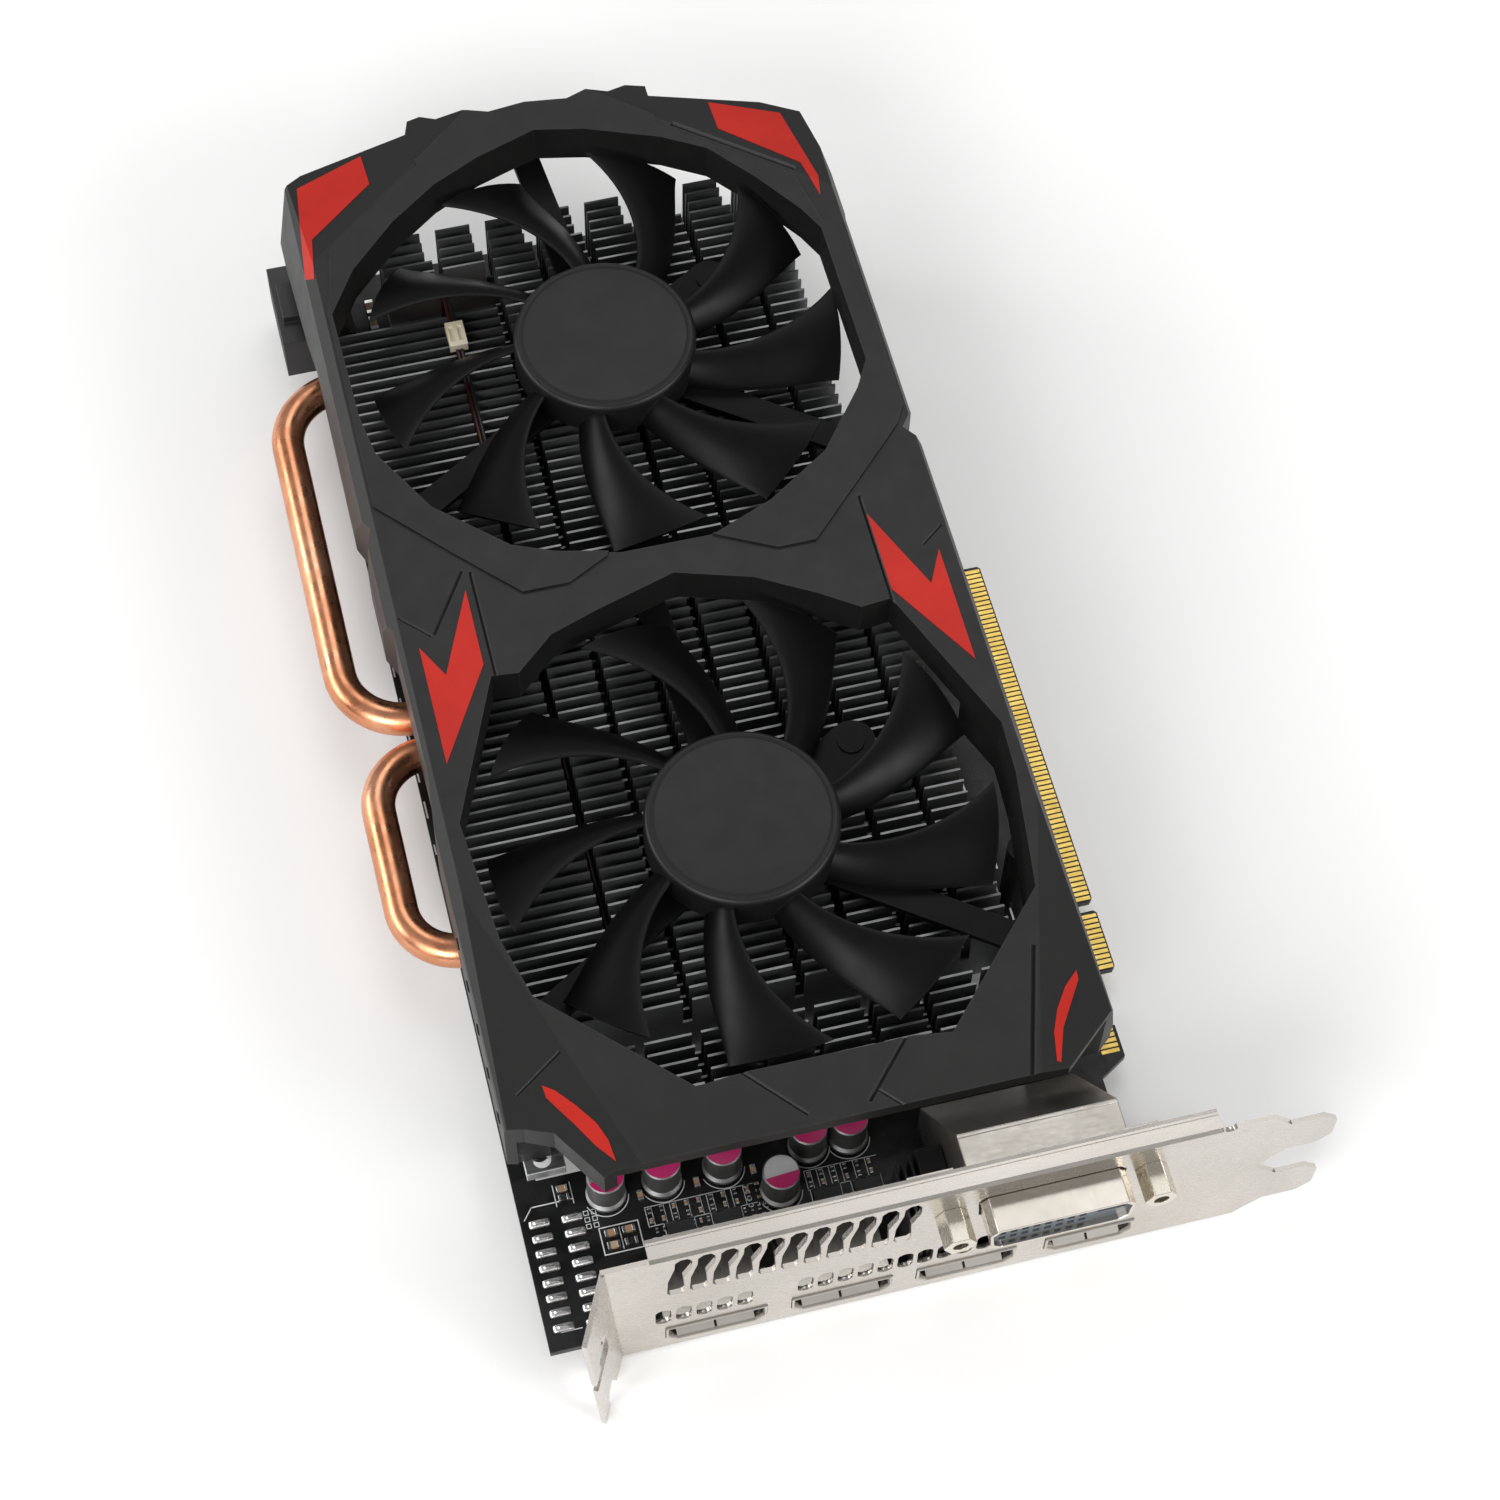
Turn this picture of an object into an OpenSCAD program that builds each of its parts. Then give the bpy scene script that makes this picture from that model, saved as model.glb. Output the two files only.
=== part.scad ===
// Dual-fan graphics card, fans up, lying on the lower edge of its bracket.
// Every module is drawn from the card's datum: X = 0 at the bracket's bend, Y = 0 at the bracket's outer
// face and Z = 0 at its lower edge. card_place() then moves the origin to the middle of the card's base.

/* [Bracket] */
// Length of the bracket from its bend to the tips of its tongues
bracket_l = 120.02; // [120.02]
// Distance from one expansion slot to the next
slot_pitch = 20.32; // [20.32]
// Width of a single-slot bracket
slot_w = 18.42; // [18.42]
// Thickness of the bracket's sheet
sheet_t = 0.86; // [0.8:0.01:1]
// Depth of the screw tab past the bracket's face
tab_l = 12.4; // [11.4:0.1:12.6]
// Angle by which the screw tab stands open
tab_tilt = 26; // [0:1:30]
// Width of a tongue
tongue_w = 10.19; // [10:0.01:10.4]
// Depth of the stiffening lip along the bracket's upper edge
lip_l = 4; // [3:0.1:5]

/* [Board] */
// Length of the circuit board
board_l = 224; // [223:0.5:226]
// Thickness of the circuit board
board_t = 1.6; // [1.57:0.01:1.65]
// Height of the board's underside above the bracket's lower edge
board_z = 3.2; // [3:0.1:3.4]
// Distance from the bracket's bend to the tips of the edge contacts
finger_x = 100.36; // [100.36]

/* [Sockets] */
// Distance between neighbouring sockets in the lower row
port_pitch = 21.2; // [21:0.1:21.3]
// Height of the middle of the lower row of sockets
port_z = 5.4; // [5.2:0.1:5.6]
// How far the DVI shell stands out of the bracket
dvi_out = 6; // [5:0.1:6.5]
// Distance between the two DVI jack posts
dvi_posts = 33.3; // [33.3]

/* [Cooler] */
// Height of the upper edge of the fins
fin_top = 27; // [26:0.5:27.2]
// Distance between neighbouring fins
fin_pitch = 2.25; // [2.2:0.05:2.5]
// Thickness of a fin
fin_t = 0.4; // [0.4:0.1:0.7]
// Distance between the grooves that cross the fins
groove_pitch = 9.6; // [9.4:0.1:9.7]
// Diameter of the heat pipes
pipe_d = 6; // [6]

/* [Shroud] */
// Height of the shroud's upper face
shroud_top = 39; // [39:0.5:40]
// Height of the lower edge of its side walls
shroud_low = 23; // [22:0.5:24]
// Thickness of its walls
shroud_wall = 1.8; // [1.5:0.1:2.2]

/* [Fans] */
// Radius at the blade tips
blade_r = 43; // [42:0.5:43.5]
// Radius of the hub
hub_r = 16.6; // [16:0.1:17]
// Number of blades
blades = 9; // [7:1:11]
// Distance from the bracket to the near fan's shaft
fan_near_y = 74.1; // [74:0.1:75]
// Distance from the bracket to the far fan's shaft
fan_far_y = 176.3; // [176:0.1:176.8]
// Angle of the near fan's first blade at rest
fan_near_turn = 13; // [0:1:39]
// Angle of the far fan's first blade at rest
fan_far_turn = 19; // [0:1:39]

/* [Hidden] */
$fn = 48;

// Envelope of the whole card in the datum frame
bracket_w = slot_w + slot_pitch;
pipe_r = pipe_d / 2;
pipe_out_x = -19.5;
shroud_far_y = 232.5;
tab_tip_y = sheet_t - tab_l * cos(tab_tilt) - sheet_t * sin(tab_tilt);
// How far each end of the bend stands out of square
bend_lean = 1.2;
card_x0 = pipe_out_x - pipe_r;
card_x1 = bracket_l;
card_y0 = tab_tip_y;
card_y1 = shroud_far_y;

// Board
board_top = board_z + board_t;
board_x0 = -10;
board_x1 = 92;
board_y0 = 1.6;
finger_y0 = 46.3;
finger_short = 11.65;
finger_gap = 1.9;
finger_long = 71.65;
contact_t = 0.06;
port_x = [for (i = [0:3]) 17.5 + i * port_pitch];

// Cooler
fan_x = 40;
gpu_y = 115.75;
die_top = board_top + 2.4;
pipe_z = 12.5;
fin_low = pipe_z;
fin_floor = 0.8;
fin_x0 = -7.4;
fin_x1 = 80;
grooves = [for (i = [0:6]) 14.6 + i * groove_pitch];
pipe_legs = [72.5, 112, 119.5, 193.5];
front_y0 = 30.2;
front_n = 6;
main_y0 = 47.5;
main_n = 75;
stage_z = board_top + 3.2;
arm_z = stage_z + 1.6;

// Fans, heights
frame_z = 28;
frame_t = 1.2;
disc_top = frame_z + frame_t;
hub_low = disc_top + 0.4;
hub_top = 37;
// Each strut's angle and the distance from the shaft to its ear
struts = [[95, 51], [212, 52], [324, 52]];
ear_r = 3.2;

module card_place() {
    translate([-(card_x0 + card_x1) / 2, -(card_y0 + card_y1) / 2, 0])
        children();
}

// A box from its lowest to its highest corner
module box(a, b) {
    translate(a)
        cube(b - a);
}

// A rounded slot outline, w wide and l long, along X
module slot_outline(l, w) {
    square([l - w, w], center = true);
    for (s = [-1, 1])
        translate([s * (l - w) / 2, 0])
            circle(d = w);
}

// ---------------------------------------------------------------- circuit board

brace_holes = [for (sx = [-1, 1], sy = [-1, 1]) [fan_x + sx * 27, gpu_y + sy * 27]];
ear_hole = [4.2, 5.4];
leg_spots = [[-6.2, 200.2], [86.8, 64], [78.6, 212.5]];

function contact_row(y0, l) = [for (y = [y0 + 0.65 : 1 : y0 + l - 0.5]) y];

module circuit_board() {
    short_end = finger_y0 + finger_short;
    long_end = short_end + finger_gap + finger_long;
    hook_y = long_end + 5;
    tip = 0.5;
    color("#16181a")
        card_place()
            difference() {
                translate([0, 0, board_z])
                    linear_extrude(board_t)
                        polygon([
                            [board_x0, board_y0], [board_x1, board_y0],
                            [board_x1, 27], [97, 30], [97, 36], [board_x1, 36],
                            [board_x1, finger_y0], [finger_x - tip, finger_y0],
                            [finger_x, finger_y0 + tip], [finger_x, short_end - tip],
                            [finger_x - tip, short_end], [board_x1 + 1, short_end],
                            [board_x1 + 1, short_end + finger_gap],
                            [finger_x - tip, short_end + finger_gap],
                            [finger_x, short_end + finger_gap + tip],
                            [finger_x, long_end - tip], [finger_x - tip, long_end],
                            [board_x1, long_end], [board_x1, hook_y],
                            [board_x1 + 4.4, hook_y], [board_x1 + 4.4, hook_y + 2.2],
                            [board_x1 + 2.6, hook_y + 5.5], [board_x1, hook_y + 5.5],
                            [board_x1, 145], [82, 147], [82, board_l], [board_x0, board_l]
                        ]);
                for (x = port_x)
                    box([x - 8.9, 0, 0], [x + 8.9, 12.5, board_top + 1]);
                for (p = brace_holes)
                    translate([p[0], p[1], 0])
                        cylinder(r = 1.75, h = 10);
                translate([ear_hole[0], ear_hole[1], 0])
                    cylinder(r = 1.6, h = 10);
                for (p = leg_spots)
                    translate([p[0], p[1], 0])
                        cylinder(r = 1.2, h = 10);
            }
}

module edge_contacts() {
    tooth = 0.7;
    rows = concat(
        contact_row(finger_y0, finger_short),
        contact_row(finger_y0 + finger_short + finger_gap, finger_long)
    );
    color("#d9b04c")
        card_place()
            for (y = rows, z = [board_z - contact_t, board_top])
                translate([94.3, y - tooth / 2, z])
                    cube([5.8, tooth, contact_t]);
}

module solder_pads() {
    pad = [3.6, 1.5, 0.5];
    pad_pitch = 2.655;
    color("#c9ccce")
        card_place() {
            for (col = [0, 1], i = [0:7])
                translate([-8.7 + col * 5.5, 4.6 + i * pad_pitch - col * 0.25, board_top])
                    cube(pad);
            for (y = [31 : 1 : 35])
                translate([93.2, y, board_top])
                    cube([3.2, 0.7, contact_t]);
        }
}

module ceramic_parts() {
    // Ceramic capacitors and resistors: width, length and height of each kind
    small = [0.6, 1, 0.35];
    large = [1.6, 3.2, 1.5];
    color("#b08a5c")
        card_place() {
            for (x = [3.2, 6.2], y = [16.6, 18.8])
                translate([x, y, board_top])
                    cube([2.2, 1.2, 0.8]);
            for (x = [for (i = [0:8]) 11 + i * 2.1, for (i = [0:5]) 38.4 + i * 2.1], y = [19.4, 21.2])
                translate([x, y, board_top])
                    cube(small);
            for (x = [10, 19.7, 29.4])
                translate([x, 23.8, board_top])
                    cube([1, 1.8, 0.8]);
            for (y = [26.7, 28.3])
                translate([-2.9, y, board_top])
                    cube([1.9, 1.2, 0.9]);
            for (y = [206, 210, 214])
                translate([1, y, board_top])
                    cube(large);
            for (x = [5.2, 7.5], y = [200, 206])
                translate([x, y, board_top])
                    cube(large);
        }
}

module small_chips() {
    color("#202225")
        card_place() {
            for (x = [13.5, 21.5, 38.6, 45.6])
                translate([x, 15.6, board_top])
                    cube([4.6, 3, 0.9]);
            translate([4, 91, board_top])
                cube([5, 5, 0.9]);
            translate([70, 200, board_top])
                cube([6, 6, 0.9]);
        }
}

// ---------------------------------------------------------------- parts on the board

can_d = 6.3;
can_h = 8;
can_spots = [[5, 26.2], [14.6, 26.4], [25, 26.4], [39.8, 26.6], [46.8, 26.6], [33.4, 20]];
seal_h = 0.7;

module capacitor_seals() {
    color("#2a2622")
        card_place()
            for (p = can_spots)
                translate([p[0], p[1], board_top])
                    difference() {
                        cylinder(d = can_d - 0.7, h = seal_h);
                        for (s = [-1, 1])
                            translate([s * 1.3, 0, -1])
                                cylinder(d = 0.5, h = seal_h + 2);
                    }
}

module capacitor_cans() {
    color("#a9adb0")
        card_place()
            for (p = can_spots)
                translate([p[0], p[1], board_top + seal_h])
                    rotate_extrude()
                        polygon([
                            [0, 0], [can_d / 2 + 0.25, 0], [can_d / 2 + 0.25, 0.7],
                            [can_d / 2 - 0.3, 1.1], [can_d / 2 - 0.3, 1.5], [can_d / 2, 1.9],
                            [can_d / 2, can_h - 0.4], [can_d / 2 - 0.4, can_h], [0, can_h]
                        ]);
}

module capacitor_marks() {
    color("#c2185b")
        card_place()
            for (p = can_spots)
                translate([p[0], p[1], board_top + seal_h + can_h])
                    linear_extrude(0.06)
                        difference() {
                            circle(r = can_d / 2 - 0.6);
                            rotate(20)
                                translate([-5, 0.2])
                                    square([10, 10]);
                        }
}

module power_chokes() {
    size = 7;
    spots = concat([for (i = [0:5]) [66, 148 + i * 8.6]], [for (x = stage_x) [x - 0.8, 48]]);
    color("#4a4d50")
        card_place()
            for (p = spots)
                translate([p[0], p[1], board_top])
                    difference() {
                        cube([size, size, 3]);
                        translate([0.9, size / 2, 2.7])
                            cylinder(r = 0.4, h = 1);
                    }
}

module power_transistors() {
    color("#26282b")
        card_place() {
            for (i = [0:5], j = [0, 1])
                translate([56 + j * 4.4, 148.6 + i * 8.6, board_top])
                    cube([3.4, 5.4, 1]);
            for (x = stage_x)
                translate([x, 39.4, board_top])
                    cube([5.4, 5.4, 1]);
        }
}

stage_x = [12, 21.5, 31, 40.5, 50];
mem_spots = [
    [4, 101], [4, 119], [64, 101], [64, 119], [27, 82], [42, 82], [27, 142], [42, 142]
];
mem_size = [12, 14, 1.1];

module memory_chips() {
    color("#1c1d20")
        card_place()
            for (p = mem_spots)
                translate([p[0], p[1], board_top])
                    cube(mem_size - [1, 1, 0]);
}

module thermal_pads() {
    color("#9fb0b8")
        card_place()
            for (x = stage_x)
                box([x, 39.4, board_top + 1], [x + 5.4, 44.8, stage_z]);
}

module gpu_package() {
    color("#1f5a3a")
        card_place()
            box([fan_x - 17.5, gpu_y - 17.5, board_top], [fan_x + 17.5, gpu_y + 17.5, board_top + 1.5]);
}

module gpu_die() {
    color("#8c9196")
        card_place()
            box([fan_x - 9, gpu_y - 8, board_top + 1.5], [fan_x + 9, gpu_y + 8, die_top]);
}

sock_x0 = -16.3;
sock_y0 = 203.9;
sock_w = 18.5;
sock_z0 = board_top;
sock_h = 10;
sock_pitch = 4.2;

module power_socket() {
    color("#1b1c1e")
        card_place()
            difference() {
                union() {
                    box([sock_x0, sock_y0, sock_z0], [-2.4, sock_y0 + sock_w, sock_z0 + sock_h]);
                    box(
                        [sock_x0 + 1, sock_y0 + 5, sock_z0 + sock_h],
                        [sock_x0 + 8, sock_y0 + sock_w - 5, sock_z0 + sock_h + 1.6]
                    );
                }
                for (i = [0:3], j = [0, 1])
                    box(
                        [sock_x0 - 1, sock_y0 + 1.2 + i * sock_pitch, sock_z0 + 0.9 + j * sock_pitch],
                        [-5.4, sock_y0 + 4.8 + i * sock_pitch, sock_z0 + 4.5 + j * sock_pitch]
                    );
            }
}

module power_pins() {
    color("#c8a04a")
        card_place()
            for (i = [0:3], j = [0, 1])
                translate([
                    -11, sock_y0 + 3 + i * sock_pitch, sock_z0 + 2.7 + j * sock_pitch
                ])
                    rotate([0, 90, 0])
                        cylinder(d = 1.1, h = 5.6);
}

// ---------------------------------------------------------------- bracket

// The plate's outline in X and Z
module bracket_outline() {
    low = (slot_w - tongue_w) / 2;
    end = bracket_l;
    tip = 2.4;
    difference() {
        polygon([
            [bend_lean, 0], [107, 0], [111.5, low], [end - tip, low],
            [end, low + tip], [end, low + tongue_w - tip], [end - tip, low + tongue_w],
            [112.5, low + tongue_w], [108, slot_w + 0.9],
            [112.5, low + slot_pitch], [end - tip, low + slot_pitch],
            [end, low + slot_pitch + tip], [end, low + slot_pitch + tongue_w - tip],
            [end - tip, low + slot_pitch + tongue_w], [112, low + slot_pitch + tongue_w],
            [108.6, bracket_w], [-bend_lean, bracket_w]
        ]);
        translate([101.2, bracket_w])
            circle(r = 1);
    }
}

module vent_holes() {
    wavy_pitch = 3.72;
    for (i = [0:10])
        translate([10.9 + i * wavy_pitch, 22.6])
            polygon([
                [-1.65, 1.4], [-1.1, 0.3], [0.8, 0.3], [1.3, 1], [1, 6.8], [2.4, 10.4],
                [2.4, 13.4], [1.7, 14.6], [0.5, 14.6], [-0.35, 13.6], [-0.45, 11.2], [-1.5, 6.2]
            ]);
    for (x = [for (i = [0:4]) 8.6 + i * 3.4, for (i = [0:9]) 32.3 + i * 3.35])
        translate([x, 13.7])
            rotate(90)
                slot_outline(5.8, 2.6);
}

dvi_x = 72.3;
dvi_z = 29.8;
dvi_w = 24;
dvi_h = 7.2;

// The D-shaped outline of the DVI shell, grown by g on every side
module dvi_outline(g) {
    w = dvi_w / 2 + g;
    h = dvi_h / 2 + g;
    polygon([
        [-w + 1.8, -h], [w - 1.8, -h], [w - 0.4, -h + 1], [w, h - 1.4], [w - 1.2, h],
        [-w + 1.2, h], [-w, h - 1.4], [-w + 0.4, -h + 1]
    ]);
}

module port_outline(w, h, cut) {
    polygon([
        [-w / 2 + cut, -h / 2], [w / 2 - cut, -h / 2], [w / 2, -h / 2 + cut],
        [w / 2, h / 2], [-w / 2, h / 2], [-w / 2, -h / 2 + cut]
    ]);
}

dp_w = 16.9;
dp_h = 5.6;
hdmi_w = 15.2;
hdmi_h = 5.6;
port_wall = 0.35;

// Lays an outline drawn in X and Z flat against the XZ plane, from y0 to y1
module upright(y0, y1) {
    translate([0, y1, 0])
        rotate([90, 0, 0])
            linear_extrude(y1 - y0)
                children();
}

lip_x = [6.5, 100];

// Lip along the bracket's upper edge, with a shallow step near its free edge
module stiffening_lip() {
    top = bracket_w;
    translate([lip_x[0], 0, 0])
        rotate([90, 0, 90])
            linear_extrude(lip_x[1] - lip_x[0])
                polygon([
                    [sheet_t, top - sheet_t - 0.6], [sheet_t, top], [lip_l - 1.2, top],
                    [lip_l - 0.9, top - 0.4], [lip_l - 0.5, top - 0.4], [lip_l, top - 0.1],
                    [lip_l, top - sheet_t - 0.1], [lip_l - 1.2, top - sheet_t - 0.1],
                    [sheet_t + 0.6, top - sheet_t]
                ]);
}

module bracket() {
    notch_w = 4.42;
    color("#c9c6c1")
        card_place() {
            difference() {
                upright(0, sheet_t)
                    bracket_outline();
                upright(-1, 2)
                    vent_holes();
                upright(-1, 2)
                    translate([dvi_x, dvi_z])
                        dvi_outline(0.3);
                for (s = [-1, 1])
                    translate([dvi_x + s * dvi_posts / 2, -1, dvi_z])
                        rotate([-90, 0, 0])
                            cylinder(r = 1.7, h = 4);
                for (i = [0:2])
                    upright(-1, 2)
                        translate([port_x[i], port_z])
                            port_outline(dp_w + 0.3, dp_h + 0.3, 1.6);
                upright(-1, 2)
                    translate([port_x[3], port_z])
                        port_outline(hdmi_w + 0.3, hdmi_h + 0.3, 1.6);
                // Rounded fold under the stiffening lip
                translate([(lip_x[0] + lip_x[1]) / 2, 0, bracket_w])
                    rotate([45, 0, 0])
                        cube([lip_x[1] - lip_x[0], 0.8, 0.8], center = true);
            }
            stiffening_lip();
            // Screw tab, standing open by tab_tilt, with one notch for each slot
            translate([0, sheet_t, bracket_w / 2])
                rotate([0, -asin(2 * bend_lean / bracket_w), 0])
                rotate([0, 0, -tab_tilt])
                translate([0, 0, -bracket_w / 2])
                    difference() {
                        box([0, -tab_l, 0.4], [sheet_t, 0, bracket_w - 0.4]);
                        for (z = [3.2, 3.2 + slot_pitch]) {
                            translate([-1, -tab_l + 5.2, z])
                                rotate([0, 90, 0])
                                    cylinder(d = notch_w, h = 4);
                            box(
                                [-1, -tab_l + 5.2 - notch_w / 2, z - 6],
                                [3, -tab_l + 5.2 + notch_w / 2, z]
                            );
                        }
                        box([-1, -tab_l - 1, slot_w - 1.2], [3, -tab_l + 7, slot_w + 1.3]);
                    }
            // Inward ear that the board's screw holds
            difference() {
                box([1.2, sheet_t / 2, board_top], [7.2, 8.5, board_top + sheet_t]);
                translate([ear_hole[0], ear_hole[1], 0])
                    cylinder(r = 1.6, h = 10);
            }
        }
}

module board_screws() {
    color("#3a3d40")
        card_place() {
            translate([ear_hole[0], ear_hole[1], board_top + sheet_t])
                pan_screw(2.6, 1.5, board_t + sheet_t);
            translate([clip_hole[0], clip_hole[1], clip_top - 2.4])
                mirror([0, 0, 1])
                    pan_screw(1.7, 1, 5.6);
            for (p = leg_spots)
                translate([p[0], p[1], board_z])
                    mirror([0, 0, 1])
                        pan_screw(2.4, 1, 5.6);
        }
}

// A screw with its head standing on Z = 0 and its shank below
module pan_screw(head_r, shank_r, length) {
    difference() {
        cylinder(r = head_r, h = 1.3);
        translate([0, 0, 1.3])
            for (a = [0, 90])
                rotate(a)
                    cube([head_r * 1.2, 0.7, 1.4], center = true);
    }
    translate([0, 0, -length])
        cylinder(r = shank_r, h = length);
}

// ---------------------------------------------------------------- sockets

hood_y1 = 10.4;
hood_top = 36.4;

module dvi_shell() {
    color("#c8c2b8")
        card_place()
            difference() {
                union() {
                    upright(-dvi_out, sheet_t + 0.3)
                        translate([dvi_x, dvi_z])
                            dvi_outline(0);
                    box(
                        [dvi_x - 20.6, sheet_t, dvi_z - 5.6],
                        [dvi_x + 20.6, sheet_t + 0.3, dvi_z + 5.6]
                    );
                }
                upright(-dvi_out - 1, sheet_t + 1)
                    translate([dvi_x, dvi_z])
                        dvi_outline(-0.5);
                for (s = [-1, 1])
                    translate([dvi_x + s * dvi_posts / 2, 0, dvi_z])
                        rotate([-90, 0, 0])
                            cylinder(r = 1.6, h = 4);
            }
}

module dvi_insulator() {
    hole = 1.15;
    color("#24262b")
        card_place()
            difference() {
                upright(-dvi_out + 1, sheet_t + 0.3)
                    translate([dvi_x, dvi_z])
                        dvi_outline(-0.5);
                for (i = [0:7], j = [-1, 0, 1])
                    translate([dvi_x - 9.6 + i * 1.9, -dvi_out, dvi_z + j * 1.9])
                        cube([hole, 4, hole], center = true);
                translate([dvi_x + 8.4, -dvi_out, dvi_z])
                    cube([4.6, 5, 0.7], center = true);
            }
}

module dvi_hood() {
    color("#b9b0a2")
        card_place()
            translate([dvi_x - 13.4, 0, 0])
                rotate([90, 0, 90])
                    difference() {
                        linear_extrude(26.8)
                            polygon([
                                [sheet_t + 0.3, board_top], [26, board_top], [26, 12],
                                [hood_y1, hood_top], [sheet_t + 0.3, hood_top]
                            ]);
                        translate([0, 0, 0.4])
                            linear_extrude(26)
                                polygon([
                                    [0, board_top - 1], [25.5, board_top - 1], [25.5, 11.8],
                                    [10.2, hood_top - 0.4], [0, hood_top - 0.4]
                                ]);
                        // Opening for the low sockets that stand below
                        translate([0, 0, -1])
                            linear_extrude(30)
                                polygon([
                                    [0, board_top - 1], [port_y0 + port_depth + 1, board_top - 1],
                                    [port_y0 + port_depth + 1, 9], [0, 9]
                                ]);
                    }
}

module dvi_posts() {
    across = 4.76;
    color("#bfb48c")
        card_place()
            for (s = [-1, 1])
                translate([dvi_x + s * dvi_posts / 2, 0, dvi_z])
                    rotate([90, 0, 0])
                        difference() {
                            union() {
                                cylinder(d = across / cos(30), h = 5.6, $fn = 6);
                                translate([0, 0, -sheet_t - 3])
                                    cylinder(r = 1.4, h = sheet_t + 3);
                            }
                            translate([0, 0, 1])
                                cylinder(r = 1.25, h = 6);
                        }
}

port_y0 = 0.2;
port_depth = 11.8;

// A sunk socket's shell, with two feet on the board beside its cut-out
module port_shell(w, h, cut) {
    foot_z = board_top - port_z;
    difference() {
        upright(port_y0, port_y0 + port_depth)
            port_outline(w, h, cut);
        upright(port_y0 - 1, port_y0 + port_depth - 0.6)
            port_outline(w - 2 * port_wall, h - 2 * port_wall, cut - 0.1);
    }
    for (s = [-1, 1])
        translate([s * (w / 2 + 0.65), 6, foot_z + 0.25])
            cube([1.9, 3, 0.5], center = true);
}

// The tongue inside a socket, standing on a block at the back of the shell
module port_tongue(tongue, block) {
    back = port_y0 + port_depth - 0.6;
    box([-tongue / 2, port_y0 + 2, -0.2], [tongue / 2, back, 1]);
    box([-block / 2, back - 1.2, -0.8], [block / 2, back, 2.3]);
}

module displayport_shells() {
    color("#bcb6ab")
        card_place()
            for (i = [0:2])
                translate([port_x[i], 0, port_z])
                    port_shell(dp_w, dp_h, 1.5);
}

module displayport_tongues() {
    color("#1d1e20")
        card_place()
            for (i = [0:2])
                translate([port_x[i], 0, port_z])
                    port_tongue(12, dp_w - 0.9);
}

module hdmi_shell() {
    color("#bcb6ab")
        card_place()
            translate([port_x[3], 0, port_z])
                port_shell(hdmi_w, hdmi_h, 1.9);
}

module hdmi_tongue() {
    color("#1d1e20")
        card_place()
            translate([port_x[3], 0, port_z])
                port_tongue(11.2, hdmi_w - 0.9);
}

// ---------------------------------------------------------------- cooler

module cold_plate() {
    gap = 0.02;
    color("#b9bec2")
        card_place()
            difference() {
                union() {
                    box([fan_x - 27, gpu_y - 15, die_top], [fan_x + 27, gpu_y + 15, fin_low]);
                    // Arms for the four spring screws
                    for (sx = [-1, 1])
                        translate([fan_x + sx * 27, gpu_y, 0])
                            box([-3.5, -30.5, arm_z], [3.5, 30.5, arm_z + 1.2]);
                }
                for (y = [pipe_legs[1], pipe_legs[2]])
                    translate([0, y, pipe_z])
                        rotate([0, 90, 0])
                            cylinder(r = pipe_r + gap, h = 200, center = true);
                for (p = brace_holes)
                    translate([p[0], p[1], 0])
                        cylinder(r = 1.5, h = 20);
            }
}

module power_stage_plate() {
    color("#c4c8ca")
        card_place()
            difference() {
                box([-6, 30.2, stage_z], [78, 84, stage_z + 1.2]);
                for (p = [[-3, 34.5], [75, 34.5], [-3, 81], [75, 81]])
                    translate([p[0], p[1], stage_z - 1])
                        cylinder(r = 1.4, h = 4);
            }
}

// A bent round bar that runs in along y_a, turns at x_out and runs back along y_b
module u_pipe(y_a, y_b, x_out, bend) {
    x_end = 76;
    x_in = x_out + bend;
    translate([0, 0, pipe_z]) {
        for (y = [y_a, y_b]) {
            translate([x_in, y, 0])
                rotate([0, 90, 0])
                    cylinder(r = pipe_r, h = x_end - x_in);
            translate([x_end, y, 0])
                rotate([0, 90, 0])
                    cylinder(r1 = pipe_r, r2 = 1, h = 3);
        }
        translate([x_out, y_a + bend, 0])
            rotate([-90, 0, 0])
                cylinder(r = pipe_r, h = y_b - y_a - 2 * bend);
        translate([x_in, y_a + bend, 0])
            rotate(180)
                rotate_extrude(angle = 90)
                    translate([bend, 0])
                        circle(r = pipe_r);
        translate([x_in, y_b - bend, 0])
            rotate(90)
                rotate_extrude(angle = 90)
                    translate([bend, 0])
                        circle(r = pipe_r);
    }
}

module heat_pipe_near() {
    color("#c87a4e")
        card_place()
            u_pipe(pipe_legs[0], pipe_legs[1], pipe_out_x + 1.5, 10);
}

module heat_pipe_far() {
    color("#c87a4e")
        card_place()
            u_pipe(pipe_legs[2], pipe_legs[3], pipe_out_x, 12);
}

// Fins in section: a floor that arches over each heat pipe, with one upright for every pitch
module fin_comb(y0, n) {
    y1 = y0 + (n - 1) * fin_pitch + fin_t;
    uprights = [
        for (i = [n - 1 : -1 : 0])
            let (y = y0 + i * fin_pitch)
                each [
                    [y + fin_t, fin_low + fin_floor], [y + fin_t, fin_top],
                    [y, fin_top], [y, fin_low + fin_floor]
                ]
    ];
    difference() {
        union() {
            polygon(concat([[y0, fin_low], [y1, fin_low]], uprights));
            intersection() {
                translate([y0, fin_low])
                    square([y1 - y0, fin_top - fin_low]);
                for (y = pipe_legs)
                    translate([y, pipe_z])
                        circle(r = pipe_r + 0.9);
            }
        }
        for (y = pipe_legs)
            translate([y, pipe_z])
                circle(r = pipe_r + 0.02);
    }
}

module fin_block(y0, n) {
    translate([fin_x0, 0, 0])
        rotate([90, 0, 90])
            linear_extrude(fin_x1 - fin_x0)
                fin_comb(y0, n);
}

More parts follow.
